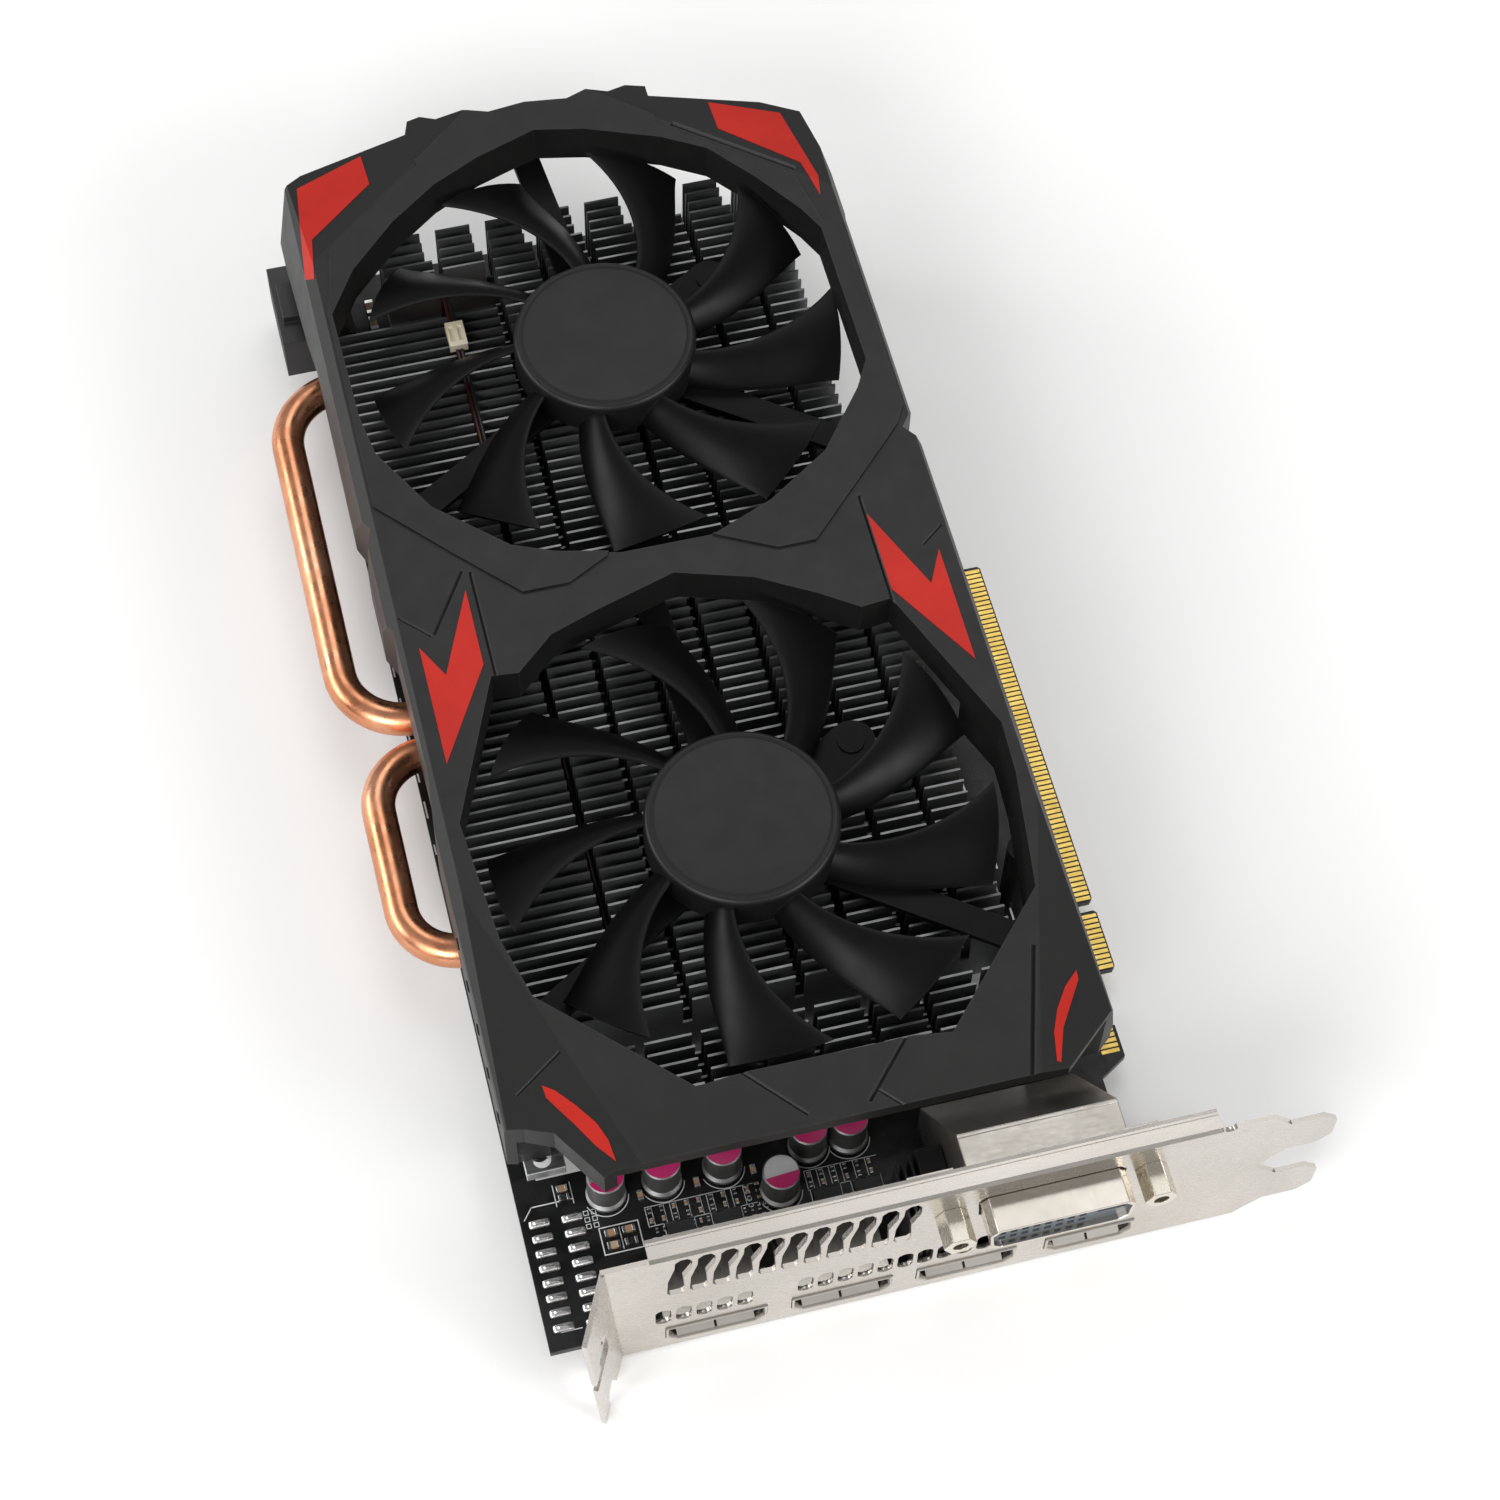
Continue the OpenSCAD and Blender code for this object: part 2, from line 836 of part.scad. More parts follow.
module fin_stack_main() {
    groove_z = 19;
    end_y = main_y0 + main_n * fin_pitch;
    color("#8d9295")
        card_place()
            difference() {
                fin_block(main_y0, main_n);
                for (x = grooves) {
                    box([x - 0.8, main_y0 - 1, groove_z], [x + 0.8, end_y, fin_top + 1]);
                    box([x - 1.9, end_y - 3 * fin_pitch, fin_low - 1], [x + 1.1, end_y, fin_top + 1]);
                }
                box([fin_x0 - 1, 196, fin_low - 1], [4.4, end_y, fin_top + 1]);
                box([fin_x0 - 1, 196, fin_low - 1], [grooves[1], 203.6, fin_top + 1]);
                box([74.5, 203, fin_low - 1], [fin_x1 + 1, end_y, fin_top + 1]);
            }
}

module fin_stack_front() {
    color("#8d9295")
        card_place()
            difference() {
                fin_block(front_y0, front_n);
                for (x = grooves)
                    box([x - 0.8, front_y0 - 1, 19], [x + 0.8, front_y0 + 15, fin_top + 1]);
                box([fin_x0 - 1, front_y0 - 1, fin_low - 1], [1, 36, fin_top + 1]);
            }
}

clip_hole = [-4.8, 31.75];
clip_top = 19.4;

module shroud_clip() {
    color("#c4c8ca")
        card_place()
            difference() {
                union() {
                    box([-7.8, 26.8, clip_top - 2.4], [-1.2, 34.8, clip_top]);
                    box([-7.8, 33.6, stage_z + 1.2], [-1.2, 34.8, clip_top]);
                    box([-6, 33.6, stage_z + 1.2], [-1.2, 38, stage_z + 2.4]);
                }
                // Open hole in front of the shroud's foot
                translate([clip_hole[0], 29, 10])
                    cylinder(r = 1.5, h = 12);
                translate([clip_hole[0], clip_hole[1], 10])
                    cylinder(r = 1.05, h = 12);
            }
}

// ---------------------------------------------------------------- back of the board

module back_brace() {
    arm = 6;
    reach = 27 * sqrt(2) + 3;
    color("#8f9498")
        card_place()
            difference() {
                for (a = [45, 135])
                    translate([fan_x, gpu_y, 0])
                        rotate(a)
                            box([-reach, -arm / 2, board_z - 1.2], [reach, arm / 2, board_z]);
                for (p = brace_holes)
                    translate([p[0], p[1], 0])
                        cylinder(r = 1.75, h = 4);
            }
}

module brace_screws() {
    head_z = board_z - 1.2;
    color("#3a3d40")
        card_place()
            for (p = brace_holes)
                translate([p[0], p[1], 0])
                    difference() {
                        union() {
                            translate([0, 0, head_z - 1.4])
                                cylinder(r = 3, h = 1.4);
                            translate([0, 0, head_z])
                                cylinder(r = 1.5, h = arm_z + 1.2 - head_z);
                        }
                        for (a = [0, 90])
                            rotate(a)
                                cube([3.4, 0.8, 3], center = true);
                    }
}

// Springs pressed close around the screws, drawn as a sleeve with a ring for every turn
module brace_springs() {
    turns = 5;
    wire = 0.35;
    span = arm_z - board_top;
    color("#9ba0a4")
        card_place()
            for (p = brace_holes)
                translate([p[0], p[1], board_top]) {
                    rotate_extrude()
                        translate([1.8, 0])
                            square([0.4, span]);
                    for (i = [0 : turns - 1])
                        translate([0, 0, wire + i * (span - 2 * wire) / (turns - 1)])
                            rotate_extrude()
                                translate([2.4, 0])
                                    circle(r = wire);
                }
}

// ---------------------------------------------------------------- shroud

near_opening = [
    [20.6, 27.2], [29, 27.8], [56.2, 27.6], [62.9, 26.7], [83.3, 48.8], [86.2, 70], [86.6, 80],
    [75, 108.2], [69.6, 107.7], [63, 112.2], [53, 118], [39.8, 122.1], [25.5, 117.9],
    [16.5, 114.8], [9.5, 108.6], [4.8, 109.1], [-6.2, 82.5], [-5.8, 78], [-4.2, 60], [-1.2, 48.8]
];
far_opening = [
    [32, 128.3], [49, 128.2], [60, 132.7], [71.8, 140.5], [80.9, 152.3], [84, 158],
    [83.8, 188.6], [81.4, 193.6], [75, 203], [67.8, 211.8], [60, 216.4], [46.5, 221.6],
    [37.3, 223.5], [25.5, 219.5], [16.4, 215], [7.3, 208.2], [-1.8, 199], [-7.3, 190],
    [-6.8, 166.4], [-5.5, 158.2], [1.8, 145], [13.6, 134], [20.9, 130.9]
];
// Outline at the lower edge; the drafted sides trim the long edges above it
shroud_plan = [
    [3, 15.9], [5, 16.4], [79.4, 16.4], [91, 26.5], [91, 82], [89.4, 84], [89.2, 139],
    [86.6, 142.5], [89.2, 146], [89.2, 191], [90, 195], [90, 200], [87.4, 218], [80.5, 221.8],
    [60.2, 227.4], [60.2, 230], [56.5, 231], [53, 230], [49, 231.4], [45, 230], [37, 231],
    [30, 230.2], [25.3, 231.8], [20, 231], [17.2, shroud_far_y], [14.7, 232], [13.7, 228.8],
    [-7, 224.5], [-13, 221.2], [-12.2, 197], [-11.6, 190], [-11.8, 150], [-9.4, 144],
    [-11.2, 139], [-11.2, 126], [-9.6, 122.5], [-9.4, 94], [-10.6, 82], [-10.6, 28],
    [-7.4, 27.2], [-3, 25.2]
];
roof_low = shroud_top - 3.4;
// Outline of the space inside the shroud
shroud_inside = [
    [3, 24], [79, 24], [88.8, 31], [88.8, 80], [87.2, 84], [87, 138], [84.6, 142.5], [87, 147],
    [87, 190], [87.6, 198], [85.6, 216], [79, 219.6], [58, 225.2], [14, 226], [-6, 222.2],
    [-10.8, 219.6], [-10, 190], [-10, 151], [-7.7, 144], [-9.4, 138], [-9.4, 127],
    [-7.8, 122.5], [-7.7, 94], [-8.8, 82], [-8.8, 30]
];
// What is cut away below the near left corner of the upper face
near_corner = [[-8.8, 0], [5.3, 0], [5.3, 24.2], [3, 24.2], [-8.8, 30.2]];
// Skirt that hangs down along the near fan's opening
near_skirt = [
    [83.3, 49.6], [86.2, 70], [86.6, 80], [82.7, 89.6], [84, 90.1], [88.1, 80.4], [87.7, 69.8],
    [84.8, 49.4]
];
// Sloping facets of the upper face: two points of the upper edge, ending on the facet's right, and the slope
facets = [
    [[-1.7, 48.8], [9.6, 15], 8],
    [[74.2, 15], [83.8, 48.8], 8],
    [[14, 221.4], [-5.9, 205], 6],
    [[82, 203.6], [60, 222], 6]
];

// Outline of the raised ring round the far fan, ending inside that fan's opening
ring_t = 0.5;
ring_outline = [
    [4.5, 133.6], [13.6, 124.1], [21.8, 124.1], [29.4, 128], [31, 131], [47, 131], [48.3, 128],
    [58.6, 122.7], [65.5, 122.7], [74.5, 131.8], [84.6, 141.9], [86, 143.4], [87.8, 146.8],
    [87.8, 189.7], [84.6, 189.7], [82, 202.2], [61.2, 218.6], [59.8, 219.6], [59.8, 229.4],
    [56.4, 230.3], [53, 229.3], [49, 230.7], [45, 229.3], [37, 230.3], [30, 229.5], [25.3, 231.1],
    [20, 230.3], [17.6, 231.6], [15, 231.2], [14.2, 228.6], [14.2, 220.2], [-5.2, 204.3],
    [-7, 194.4], [-8.1, 190], [-8.1, 147.4]
];
// Grooves in the upper face: both ends, and half the width
creases = [
    [[27.4, 28.8, shroud_top], [36.7, 18.3, shroud_top], 0.35],
    [[56.4, 28.9, shroud_top], [46.7, 18.2, shroud_top], 0.45],
    [[48.6, 19.8, shroud_top], [53.9, 14, shroud_top], 0.3],
    [[72.4, 13.8, shroud_top], [80, 38.5, shroud_top], 0.5],
    [[0.9, 38.3, 38.9], [-7.4, 33, 37.6], 0.35],
    [[5.6, 130.4, shroud_top], [5.6, 107.4, shroud_top], 0.35],
    [[4.2, 131, shroud_top], [-3, 119.4, shroud_top], 0.35],
    [[-3.4, 119.2, shroud_top], [-8.3, 124.2, shroud_top], 0.3],
    [[75.2, 130, shroud_top], [75.2, 107, shroud_top], 0.35],
    [[83.4, 117.6, shroud_top], [87.6, 120.9, shroud_top], 0.3],
    [[62.8, 219.6, 39], [82.8, 203.8, 39], 0.6]
];

// Section across the card: sides that lean in towards a bevelled upper edge
module shroud_section(g) {
    polygon([
        [-13 + g, shroud_low - 1], [-10.4 + g, 36.6 - g], [-8.6 + g, shroud_top - g],
        [88.4 - g, shroud_top - g], [89.6 - g, 36.6 - g], [92 - g, shroud_low - 1]
    ]);
}

module shroud_bar(g) {
    translate([0, 250, 0])
        rotate([90, 0, 0])
            linear_extrude(250)
                shroud_section(g);
}

module prism(outline, z0, z1) {
    translate([0, 0, z0])
        linear_extrude(z1 - z0)
            polygon(outline);
}

module shroud_block() {
    intersection() {
        prism(shroud_plan, shroud_low, shroud_top + 1);
        shroud_bar(0);
    }
}

// A V-shaped groove from p to q
module groove(p, q, half) {
    d = q - p;
    translate(p)
        rotate([0, acos(d[2] / norm(d)), atan2(d[1], d[0])])
            cylinder(r = half, h = norm(d), $fn = 4);
}

// What lies above each sloping facet
module facet_cuts() {
    reach = 40;
    for (f = facets) {
        d = f[1] - f[0];
        translate([f[0][0], f[0][1], shroud_top])
            rotate(atan2(d[1], d[0]))
                rotate([f[2], 0, 0])
                    translate([-reach, -reach, 0])
                        cube([norm(d) + 2 * reach, reach, 20]);
    }
}

// An opening's outline grown about the fan's shaft
function grown(outline, y, k) = [for (p = outline) [fan_x + (p[0] - fan_x) * k, y + (p[1] - y) * k]];

function strut_end(s, y) = [fan_x + s[1] * cos(s[0]), y + s[1] * sin(s[0])];
ear_spots = [for (y = [fan_near_y, fan_far_y], s = struts) strut_end(s, y)];

module shroud() {
    collar_low = 31.2;
    color("#1e1f21")
        card_place()
            difference() {
                union() {
                    difference() {
                        shroud_block();
                        intersection() {
                            prism(shroud_inside, shroud_low - 1, roof_low);
                            shroud_bar(shroud_wall);
                        }
                        // The near edge is only as deep as the roof, and deeper at its left corner
                        box([5.2, 0, shroud_low - 1], [100, 24.1, roof_low + 0.6]);
                        prism(near_corner, shroud_low - 1, 32);
                        // The far wall stops short of the board
                        box([10, 224, shroud_low - 1], [64, 240, 30]);
                    }
                    intersection() {
                        shroud_block();
                        union() {
                            prism(grown(near_opening, fan_near_y, 1.045), collar_low, roof_low + 0.5);
                            prism(grown(far_opening, fan_far_y, 1.045), collar_low, roof_low + 0.5);
                        }
                    }
                    for (p = ear_spots)
                        translate([p[0], p[1], disc_top])
                            cylinder(r = 2.6, h = roof_low - disc_top + 0.5);
                    for (p = leg_spots)
                        translate([p[0], p[1], board_top])
                            cylinder(r = 2.4, h = roof_low - board_top + 0.5);
                    // Foot on the shroud clip
                    box([-9.2, 29.3, clip_top], [-3.2, 33.4, roof_low + 0.5]);
                    prism(near_skirt, shroud_low, collar_low + 0.5);
                    prism(ring_outline, shroud_top - 0.5, shroud_top + ring_t);
                }
                prism(near_opening, shroud_low, shroud_top + 1);
                prism(far_opening, shroud_low, shroud_top + 1);
                for (p = ear_spots)
                    translate([p[0], p[1], disc_top - 1])
                        cylinder(r = 1, h = 5);
                for (p = leg_spots)
                    translate([p[0], p[1], board_top - 1])
                        cylinder(r = 1, h = 5.2);
                translate([clip_hole[0], clip_hole[1], clip_top - 1])
                    cylinder(r = 1, h = 5.2);
                facet_cuts();
                for (c = creases)
                    groove(c[0], c[1], c[2]);
                // Vent slashes in the side wall at the near left
                for (y = [34, 42, 50, 58, 66])
                    translate([-14, y, 26.5])
                        rotate([28, 0, 0])
                            box([0, 0, 0], [5.6, 2, 7]);
            }
}

decals = [
    [[75.5, 126], [82.6, 109.5], [85.8, 116], [85.8, 93], [75.6, 110]],
    [[4.1, 127], [-2.6, 111], [-6, 117.4], [-6, 94], [4, 111.6]],
    [[-8.2, 221.4], [4.7, 225.9], [5, 218.6], [-7.7, 208.2], [-8.9, 199.3], [-10.5, 201.1]],
    [[70.9, 223.5], [83.6, 218.2], [86.5, 201], [85.7, 196.4], [84.1, 205], [71.1, 216.5]],
    [
        [-3.1, 33.5], [-1.3, 32.1], [1.3, 28.8], [3.8, 25], [5, 21.7], [5.4, 17.9],
        [2.9, 21.3], [0.4, 25.8], [-1.3, 28.6], [-2.9, 31.3]
    ],
    [
        [85.5, 32.8], [82.9, 30.4], [80.4, 26.7], [78.7, 22.9], [77.7, 17.9],
        [78.3, 17.6], [80.4, 23.3], [83.3, 27.9], [85.4, 31.2]
    ]
];

// Printed shapes on the upper face, following its facets
module shroud_decals() {
    t = 0.12;
    color("#c8322a")
        card_place()
            for (d = decals)
                difference() {
                    intersection() {
                        prism(d, 33, shroud_top + 1);
                        translate([0, 0, t])
                            difference() {
                                shroud_bar(0);
                                facet_cuts();
                            }
                    }
                    difference() {
                        shroud_bar(0);
                        facet_cuts();
                    }
                }
}

// ---------------------------------------------------------------- fans

// An eight-sided bar from p to q
module rod(p, q, r) {
    d = q - p;
    translate(p)
        rotate([0, acos(d[2] / norm(d)), atan2(d[1], d[0])])
            cylinder(r = r, h = norm(d), $fn = 8);
}

lug_angle = 31;
lead_hole_r = 9;

module fan_frame(y) {
    color("#1a1b1d")
        card_place()
            translate([fan_x, y, frame_z])
                difference() {
                    union() {
                        cylinder(r = 15, h = frame_t);
                        cylinder(r = 3.4, h = 6.2);
                        for (s = struts)
                            rotate(s[0]) {
                                translate([13, -2.6, 0])
                                    cube([s[1] - 13, 5.2, frame_t]);
                                translate([s[1], 0, 0])
                                    cylinder(r = ear_r, h = frame_t);
                            }
                        // Lug beside the hub, with a round peg
                        rotate(lug_angle) {
                            translate([13, -4, 0])
                                cube([14, 8, 0.8]);
                            translate([27, 0, 0])
                                cylinder(r = 4, h = 0.8);
                            translate([26.6, 0, 0])
                                cylinder(r = 2.3, h = frame_t);
                        }
                    }
                    translate([0, 0, 0.8])
                        cylinder(r = 2.5, h = 10);
                    for (s = struts)
                        rotate(s[0])
                            translate([s[1], 0, -1])
                                cylinder(r = 1.3, h = 4);
                    rotate(struts[1][0])
                        translate([lead_hole_r, 0, -1])
                            cylinder(r = 1.1, h = 4);
                }
}

module fan_screws() {
    color("#3a3d40")
        card_place()
            for (p = ear_spots)
                translate([p[0], p[1], frame_z - 0.8]) {
                    cylinder(r = 2.2, h = 0.8);
                    cylinder(r = 1, h = 5);
                }
}

module fan_bearing(y) {
    color("#b08a3c")
        card_place()
            translate([fan_x, y, frame_z + 0.8])
                difference() {
                    cylinder(r = 2.5, h = 5.2);
                    translate([0, 0, -1])
                        cylinder(r = 1.05, h = 8);
                }
}

module fan_board(y) {
    color("#1d5c34")
        card_place()
            translate([fan_x, y, disc_top])
                difference() {
                    cylinder(r = 11, h = 0.6);
                    translate([0, 0, -1])
                        cylinder(r = 3.4, h = 3);
                }
}

module fan_stator(y) {
    color("#6e7377")
        card_place()
            translate([fan_x, y, disc_top + 1.4])
                difference() {
                    union() {
                        cylinder(r = 5.4, h = 3);
                        for (a = [0:90:270])
                            rotate(a) {
                                translate([4, -1.2, 0])
                                    cube([8, 2.4, 3]);
                                intersection() {
                                    difference() {
                                        cylinder(r = 13, h = 3);
                                        translate([0, 0, -1])
                                            cylinder(r = 11.6, h = 5);
                                    }
                                    translate([0, -7, 0])
                                        cube([14, 14, 3]);
                                }
                            }
                    }
                    translate([0, 0, -1])
                        cylinder(r = 3.4, h = 5);
                }
}

module fan_coils(y) {
    color("#b5672f")
        card_place()
            translate([fan_x, y, disc_top + 0.6])
                for (a = [0:90:270])
                    rotate(a)
                        difference() {
                            translate([5.9, -2.8, 0])
                                cube([5.2, 5.6, 4.4]);
                            translate([5, -1.2, 0.8])
                                cube([8, 2.4, 3]);
                        }
}

// A blade's two edges: their angles and heights from the root (u = 0) to the tip (u = 1)
function low_angle(u) = -19 * (1 - u) ^ 1.3;
function high_angle(u) = -2 + 25 * u ^ 1.15;
function low_height(u) = 30.4 - 0.1 * u;
function high_height(u) = 35.3 + 0.4 * u;

// A point of a blade: u from root to tip, v from the low to the high edge, side -1 below and 1 above
function blade_point(u, v, side) =
    let (
        r = hub_r - 0.6 + (blade_r - hub_r + 0.6) * u,
        a = low_angle(u) + (high_angle(u) - low_angle(u)) * v,
        z = low_height(u) + (high_height(u) - low_height(u)) * v + 0.9 * sin(180 * v)
    )
        [r * cos(a), r * sin(a), z + side * 0.5];

module blade() {
    nu = 8;
    nv = 4;
    ring = (nu + 1) * (nv + 1);
    pts = [
        for (side = [-1, 1], i = [0:nu], j = [0:nv])
            blade_point(i / nu, j / nv, side)
    ];
    at = function (s, i, j) s * ring + i * (nv + 1) + j;
    skins = [
        for (i = [0 : nu - 1], j = [0 : nv - 1])
            each [
                [at(1, i, j), at(1, i + 1, j + 1), at(1, i + 1, j)],
                [at(1, i, j), at(1, i, j + 1), at(1, i + 1, j + 1)],
                [at(0, i, j), at(0, i + 1, j), at(0, i + 1, j + 1)],
                [at(0, i, j), at(0, i + 1, j + 1), at(0, i, j + 1)]
            ]
    ];
    long_edges = [
        for (i = [0 : nu - 1], e = [0, nv])
            let (a = e == 0 ? i : i + 1, b = e == 0 ? i + 1 : i)
                each [
                    [at(0, a, e), at(1, a, e), at(1, b, e)],
                    [at(0, a, e), at(1, b, e), at(0, b, e)]
                ]
    ];
    short_edges = [
        for (j = [0 : nv - 1], e = [0, nu])
            let (a = e == 0 ? j + 1 : j, b = e == 0 ? j : j + 1)
                each [
                    [at(0, e, a), at(1, e, a), at(1, e, b)],
                    [at(0, e, a), at(1, e, b), at(0, e, b)]
                ]
    ];
    polyhedron(pts, concat(skins, long_edges, short_edges));
}

module fan_impeller(y, turn) {
    roof = hub_top - 1.4;
    color("#1f2022")
        card_place()
            translate([fan_x, y, 0]) {
                rotate_extrude()
                    polygon([
                        [1, roof - 1], [2.6, roof - 1], [2.6, roof], [15.2, roof],
                        [15.2, hub_low], [hub_r, hub_low], [hub_r, hub_top - 1],
                        [hub_r - 1, hub_top], [0, hub_top], [0, 36.2], [1, 36.2]
                    ]);
                for (i = [0 : blades - 1])
                    rotate(turn + i * 360 / blades)
                        blade();
            }
}

module fan_magnet(y) {
    color("#3c3f42")
        card_place()
            translate([fan_x, y, hub_low + 0.6])
                difference() {
                    cylinder(r = 15.2, h = 4.4);
                    translate([0, 0, -1])
                        cylinder(r = 13.6, h = 7);
                }
}

module fan_shaft(y) {
    color("#c9ccd0")
        card_place()
            translate([fan_x, y, frame_z + 1.2])
                cylinder(r = 1, h = 36.2 - frame_z - 1.2);
}

// Two wires side by side along a route of points; each length runs on a little past the next corner
wire_r = 0.38;

module wire_pair(route) {
    last = len(route) - 1;
    for (s = [-1, 1], i = [1:last]) {
        shift = [s * (wire_r + 0.01), 0, 0];
        step = (route[i] - route[i - 1]) / norm(route[i] - route[i - 1]);
        past = i < last ? wire_r * 0.7 : 0;
        rod(route[i - 1] + shift, route[i] + shift + step * past, wire_r);
    }
}

function lead_start(y, z) = [
    fan_x + lead_hole_r * cos(struts[1][0]), y + lead_hole_r * sin(struts[1][0]), z
];
// Where a lead that follows its strut reaches the first groove of the fins
function lead_turn(y, z) = [grooves[0], y + (fan_x - grooves[0]) * tan(-(struts[1][0] - 180)), z];

lead_z = fin_top + wire_r;
header_y = 200.8;
header_top = board_top + 4.2;
plug_y = [185.8, 191.4];

module fan_near_lead() {
    deep = 19 + wire_r;
    color("#6b3a24")
        card_place()
            wire_pair([
                lead_start(fan_near_y, disc_top), lead_start(fan_near_y, lead_z),
                lead_turn(fan_near_y, lead_z), lead_turn(fan_near_y, deep),
                [grooves[0], header_y - 1, deep], [grooves[0], header_y - 1, header_top]
            ]);
}

module fan_far_lead() {
    color("#6b3a24")
        card_place() {
            wire_pair([
                lead_start(fan_far_y, disc_top), lead_start(fan_far_y, lead_z),
                lead_turn(fan_far_y, lead_z), [grooves[0], plug_y[0], lead_z]
            ]);
            wire_pair([
                [grooves[0], plug_y[1], lead_z], [grooves[0], header_y + 1, lead_z],
                [grooves[0], header_y + 1, header_top]
            ]);
        }
}

module fan_plug() {
    color("#e6dcc0")
        card_place()
            difference() {
                box([grooves[0] - 1.7, plug_y[0], fin_top], [grooves[0] + 1.7, plug_y[1], fin_top + 1.9]);
                for (s = [-1, 1])
                    box(
                        [grooves[0] + s * 0.8 - 0.4, plug_y[0] + 1.2, fin_top + 1.5],
                        [grooves[0] + s * 0.8 + 0.4, plug_y[1] - 1.2, fin_top + 3]
                    );
            }
}

module fan_header() {
    color("#efe8d6")
        card_place()
            box([grooves[0] - 5, header_y - 2.4, board_top], [grooves[0] + 5, header_y + 2.4, header_top]);
}

module fan_near_frame() {
    fan_frame(fan_near_y);
}

module fan_near_bearing() {
    fan_bearing(fan_near_y);
}

module fan_near_stator() {
    fan_stator(fan_near_y);
}

module fan_near_coils() {
    fan_coils(fan_near_y);
}

module fan_near_board() {
    fan_board(fan_near_y);
}

module fan_near_impeller() {
    fan_impeller(fan_near_y, fan_near_turn);
}

module fan_near_magnet() {
    fan_magnet(fan_near_y);
}

module fan_near_shaft() {
    fan_shaft(fan_near_y);
}

module fan_far_frame() {
    fan_frame(fan_far_y);
}

module fan_far_bearing() {
    fan_bearing(fan_far_y);
}

module fan_far_stator() {
    fan_stator(fan_far_y);
}

module fan_far_coils() {
    fan_coils(fan_far_y);
}

module fan_far_board() {
    fan_board(fan_far_y);
}

module fan_far_impeller() {
    fan_impeller(fan_far_y, fan_far_turn);
}

module fan_far_magnet() {
    fan_magnet(fan_far_y);
}

module fan_far_shaft() {
    fan_shaft(fan_far_y);
}

circuit_board();
edge_contacts();
solder_pads();
ceramic_parts();
small_chips();
capacitor_cans();
capacitor_marks();
capacitor_seals();
power_chokes();
power_transistors();
memory_chips();
gpu_package();
gpu_die();
thermal_pads();
power_socket();
power_pins();
bracket();
board_screws();
dvi_shell();
dvi_insulator();
dvi_hood();
dvi_posts();
displayport_shells();
displayport_tongues();
hdmi_shell();
hdmi_tongue();
cold_plate();
power_stage_plate();
heat_pipe_near();
heat_pipe_far();
fin_stack_main();
fin_stack_front();
shroud_clip();
back_brace();
brace_screws();
brace_springs();
shroud();
shroud_decals();
fan_screws();
fan_header();
fan_plug();
fan_near_frame();
fan_near_bearing();
fan_near_stator();
fan_near_coils();
fan_near_board();
fan_near_lead();
fan_near_impeller();
fan_near_magnet();
fan_near_shaft();
fan_far_frame();
fan_far_bearing();
fan_far_stator();
fan_far_coils();
fan_far_board();
fan_far_lead();
fan_far_impeller();
fan_far_magnet();
fan_far_shaft();
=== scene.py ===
"""Looks of the graphics card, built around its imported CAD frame. Lengths in the helpers are in mm."""

import math
import random

import bmesh
import bpy
from mathutils import Matrix, Vector


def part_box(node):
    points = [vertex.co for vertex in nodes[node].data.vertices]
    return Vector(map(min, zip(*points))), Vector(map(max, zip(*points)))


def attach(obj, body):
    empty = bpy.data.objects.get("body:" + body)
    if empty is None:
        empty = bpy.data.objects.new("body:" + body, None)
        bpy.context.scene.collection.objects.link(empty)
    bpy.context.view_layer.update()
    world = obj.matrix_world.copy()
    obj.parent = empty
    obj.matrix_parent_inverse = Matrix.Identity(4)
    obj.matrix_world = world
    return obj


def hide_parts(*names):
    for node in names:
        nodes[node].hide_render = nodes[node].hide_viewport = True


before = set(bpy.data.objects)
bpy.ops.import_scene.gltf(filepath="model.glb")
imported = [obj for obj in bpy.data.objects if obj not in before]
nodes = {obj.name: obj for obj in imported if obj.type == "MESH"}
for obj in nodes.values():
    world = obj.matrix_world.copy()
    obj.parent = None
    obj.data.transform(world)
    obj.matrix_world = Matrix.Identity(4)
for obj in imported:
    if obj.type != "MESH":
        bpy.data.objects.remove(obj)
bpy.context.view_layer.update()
MM = 0.001

# The card's datum (bracket bend, bracket face, bracket edge), found from the board's lowest corner
BOARD_CORNER = Vector((-10.0, 1.6, 3.2))
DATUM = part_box("circuit_board")[0] - BOARD_CORNER * MM
BOARD_TOP = 4.8
FAN_X = 40.0
FANS = {"near": (74.1, 13.0), "far": (176.3, 19.0)}
DETAIL = 2


def at(x, y, z):
    """A point of the card, given in mm from its datum, in the frame's metres."""
    return DATUM + Vector((x, y, z)) * MM


# ---------------------------------------------------------------- materials


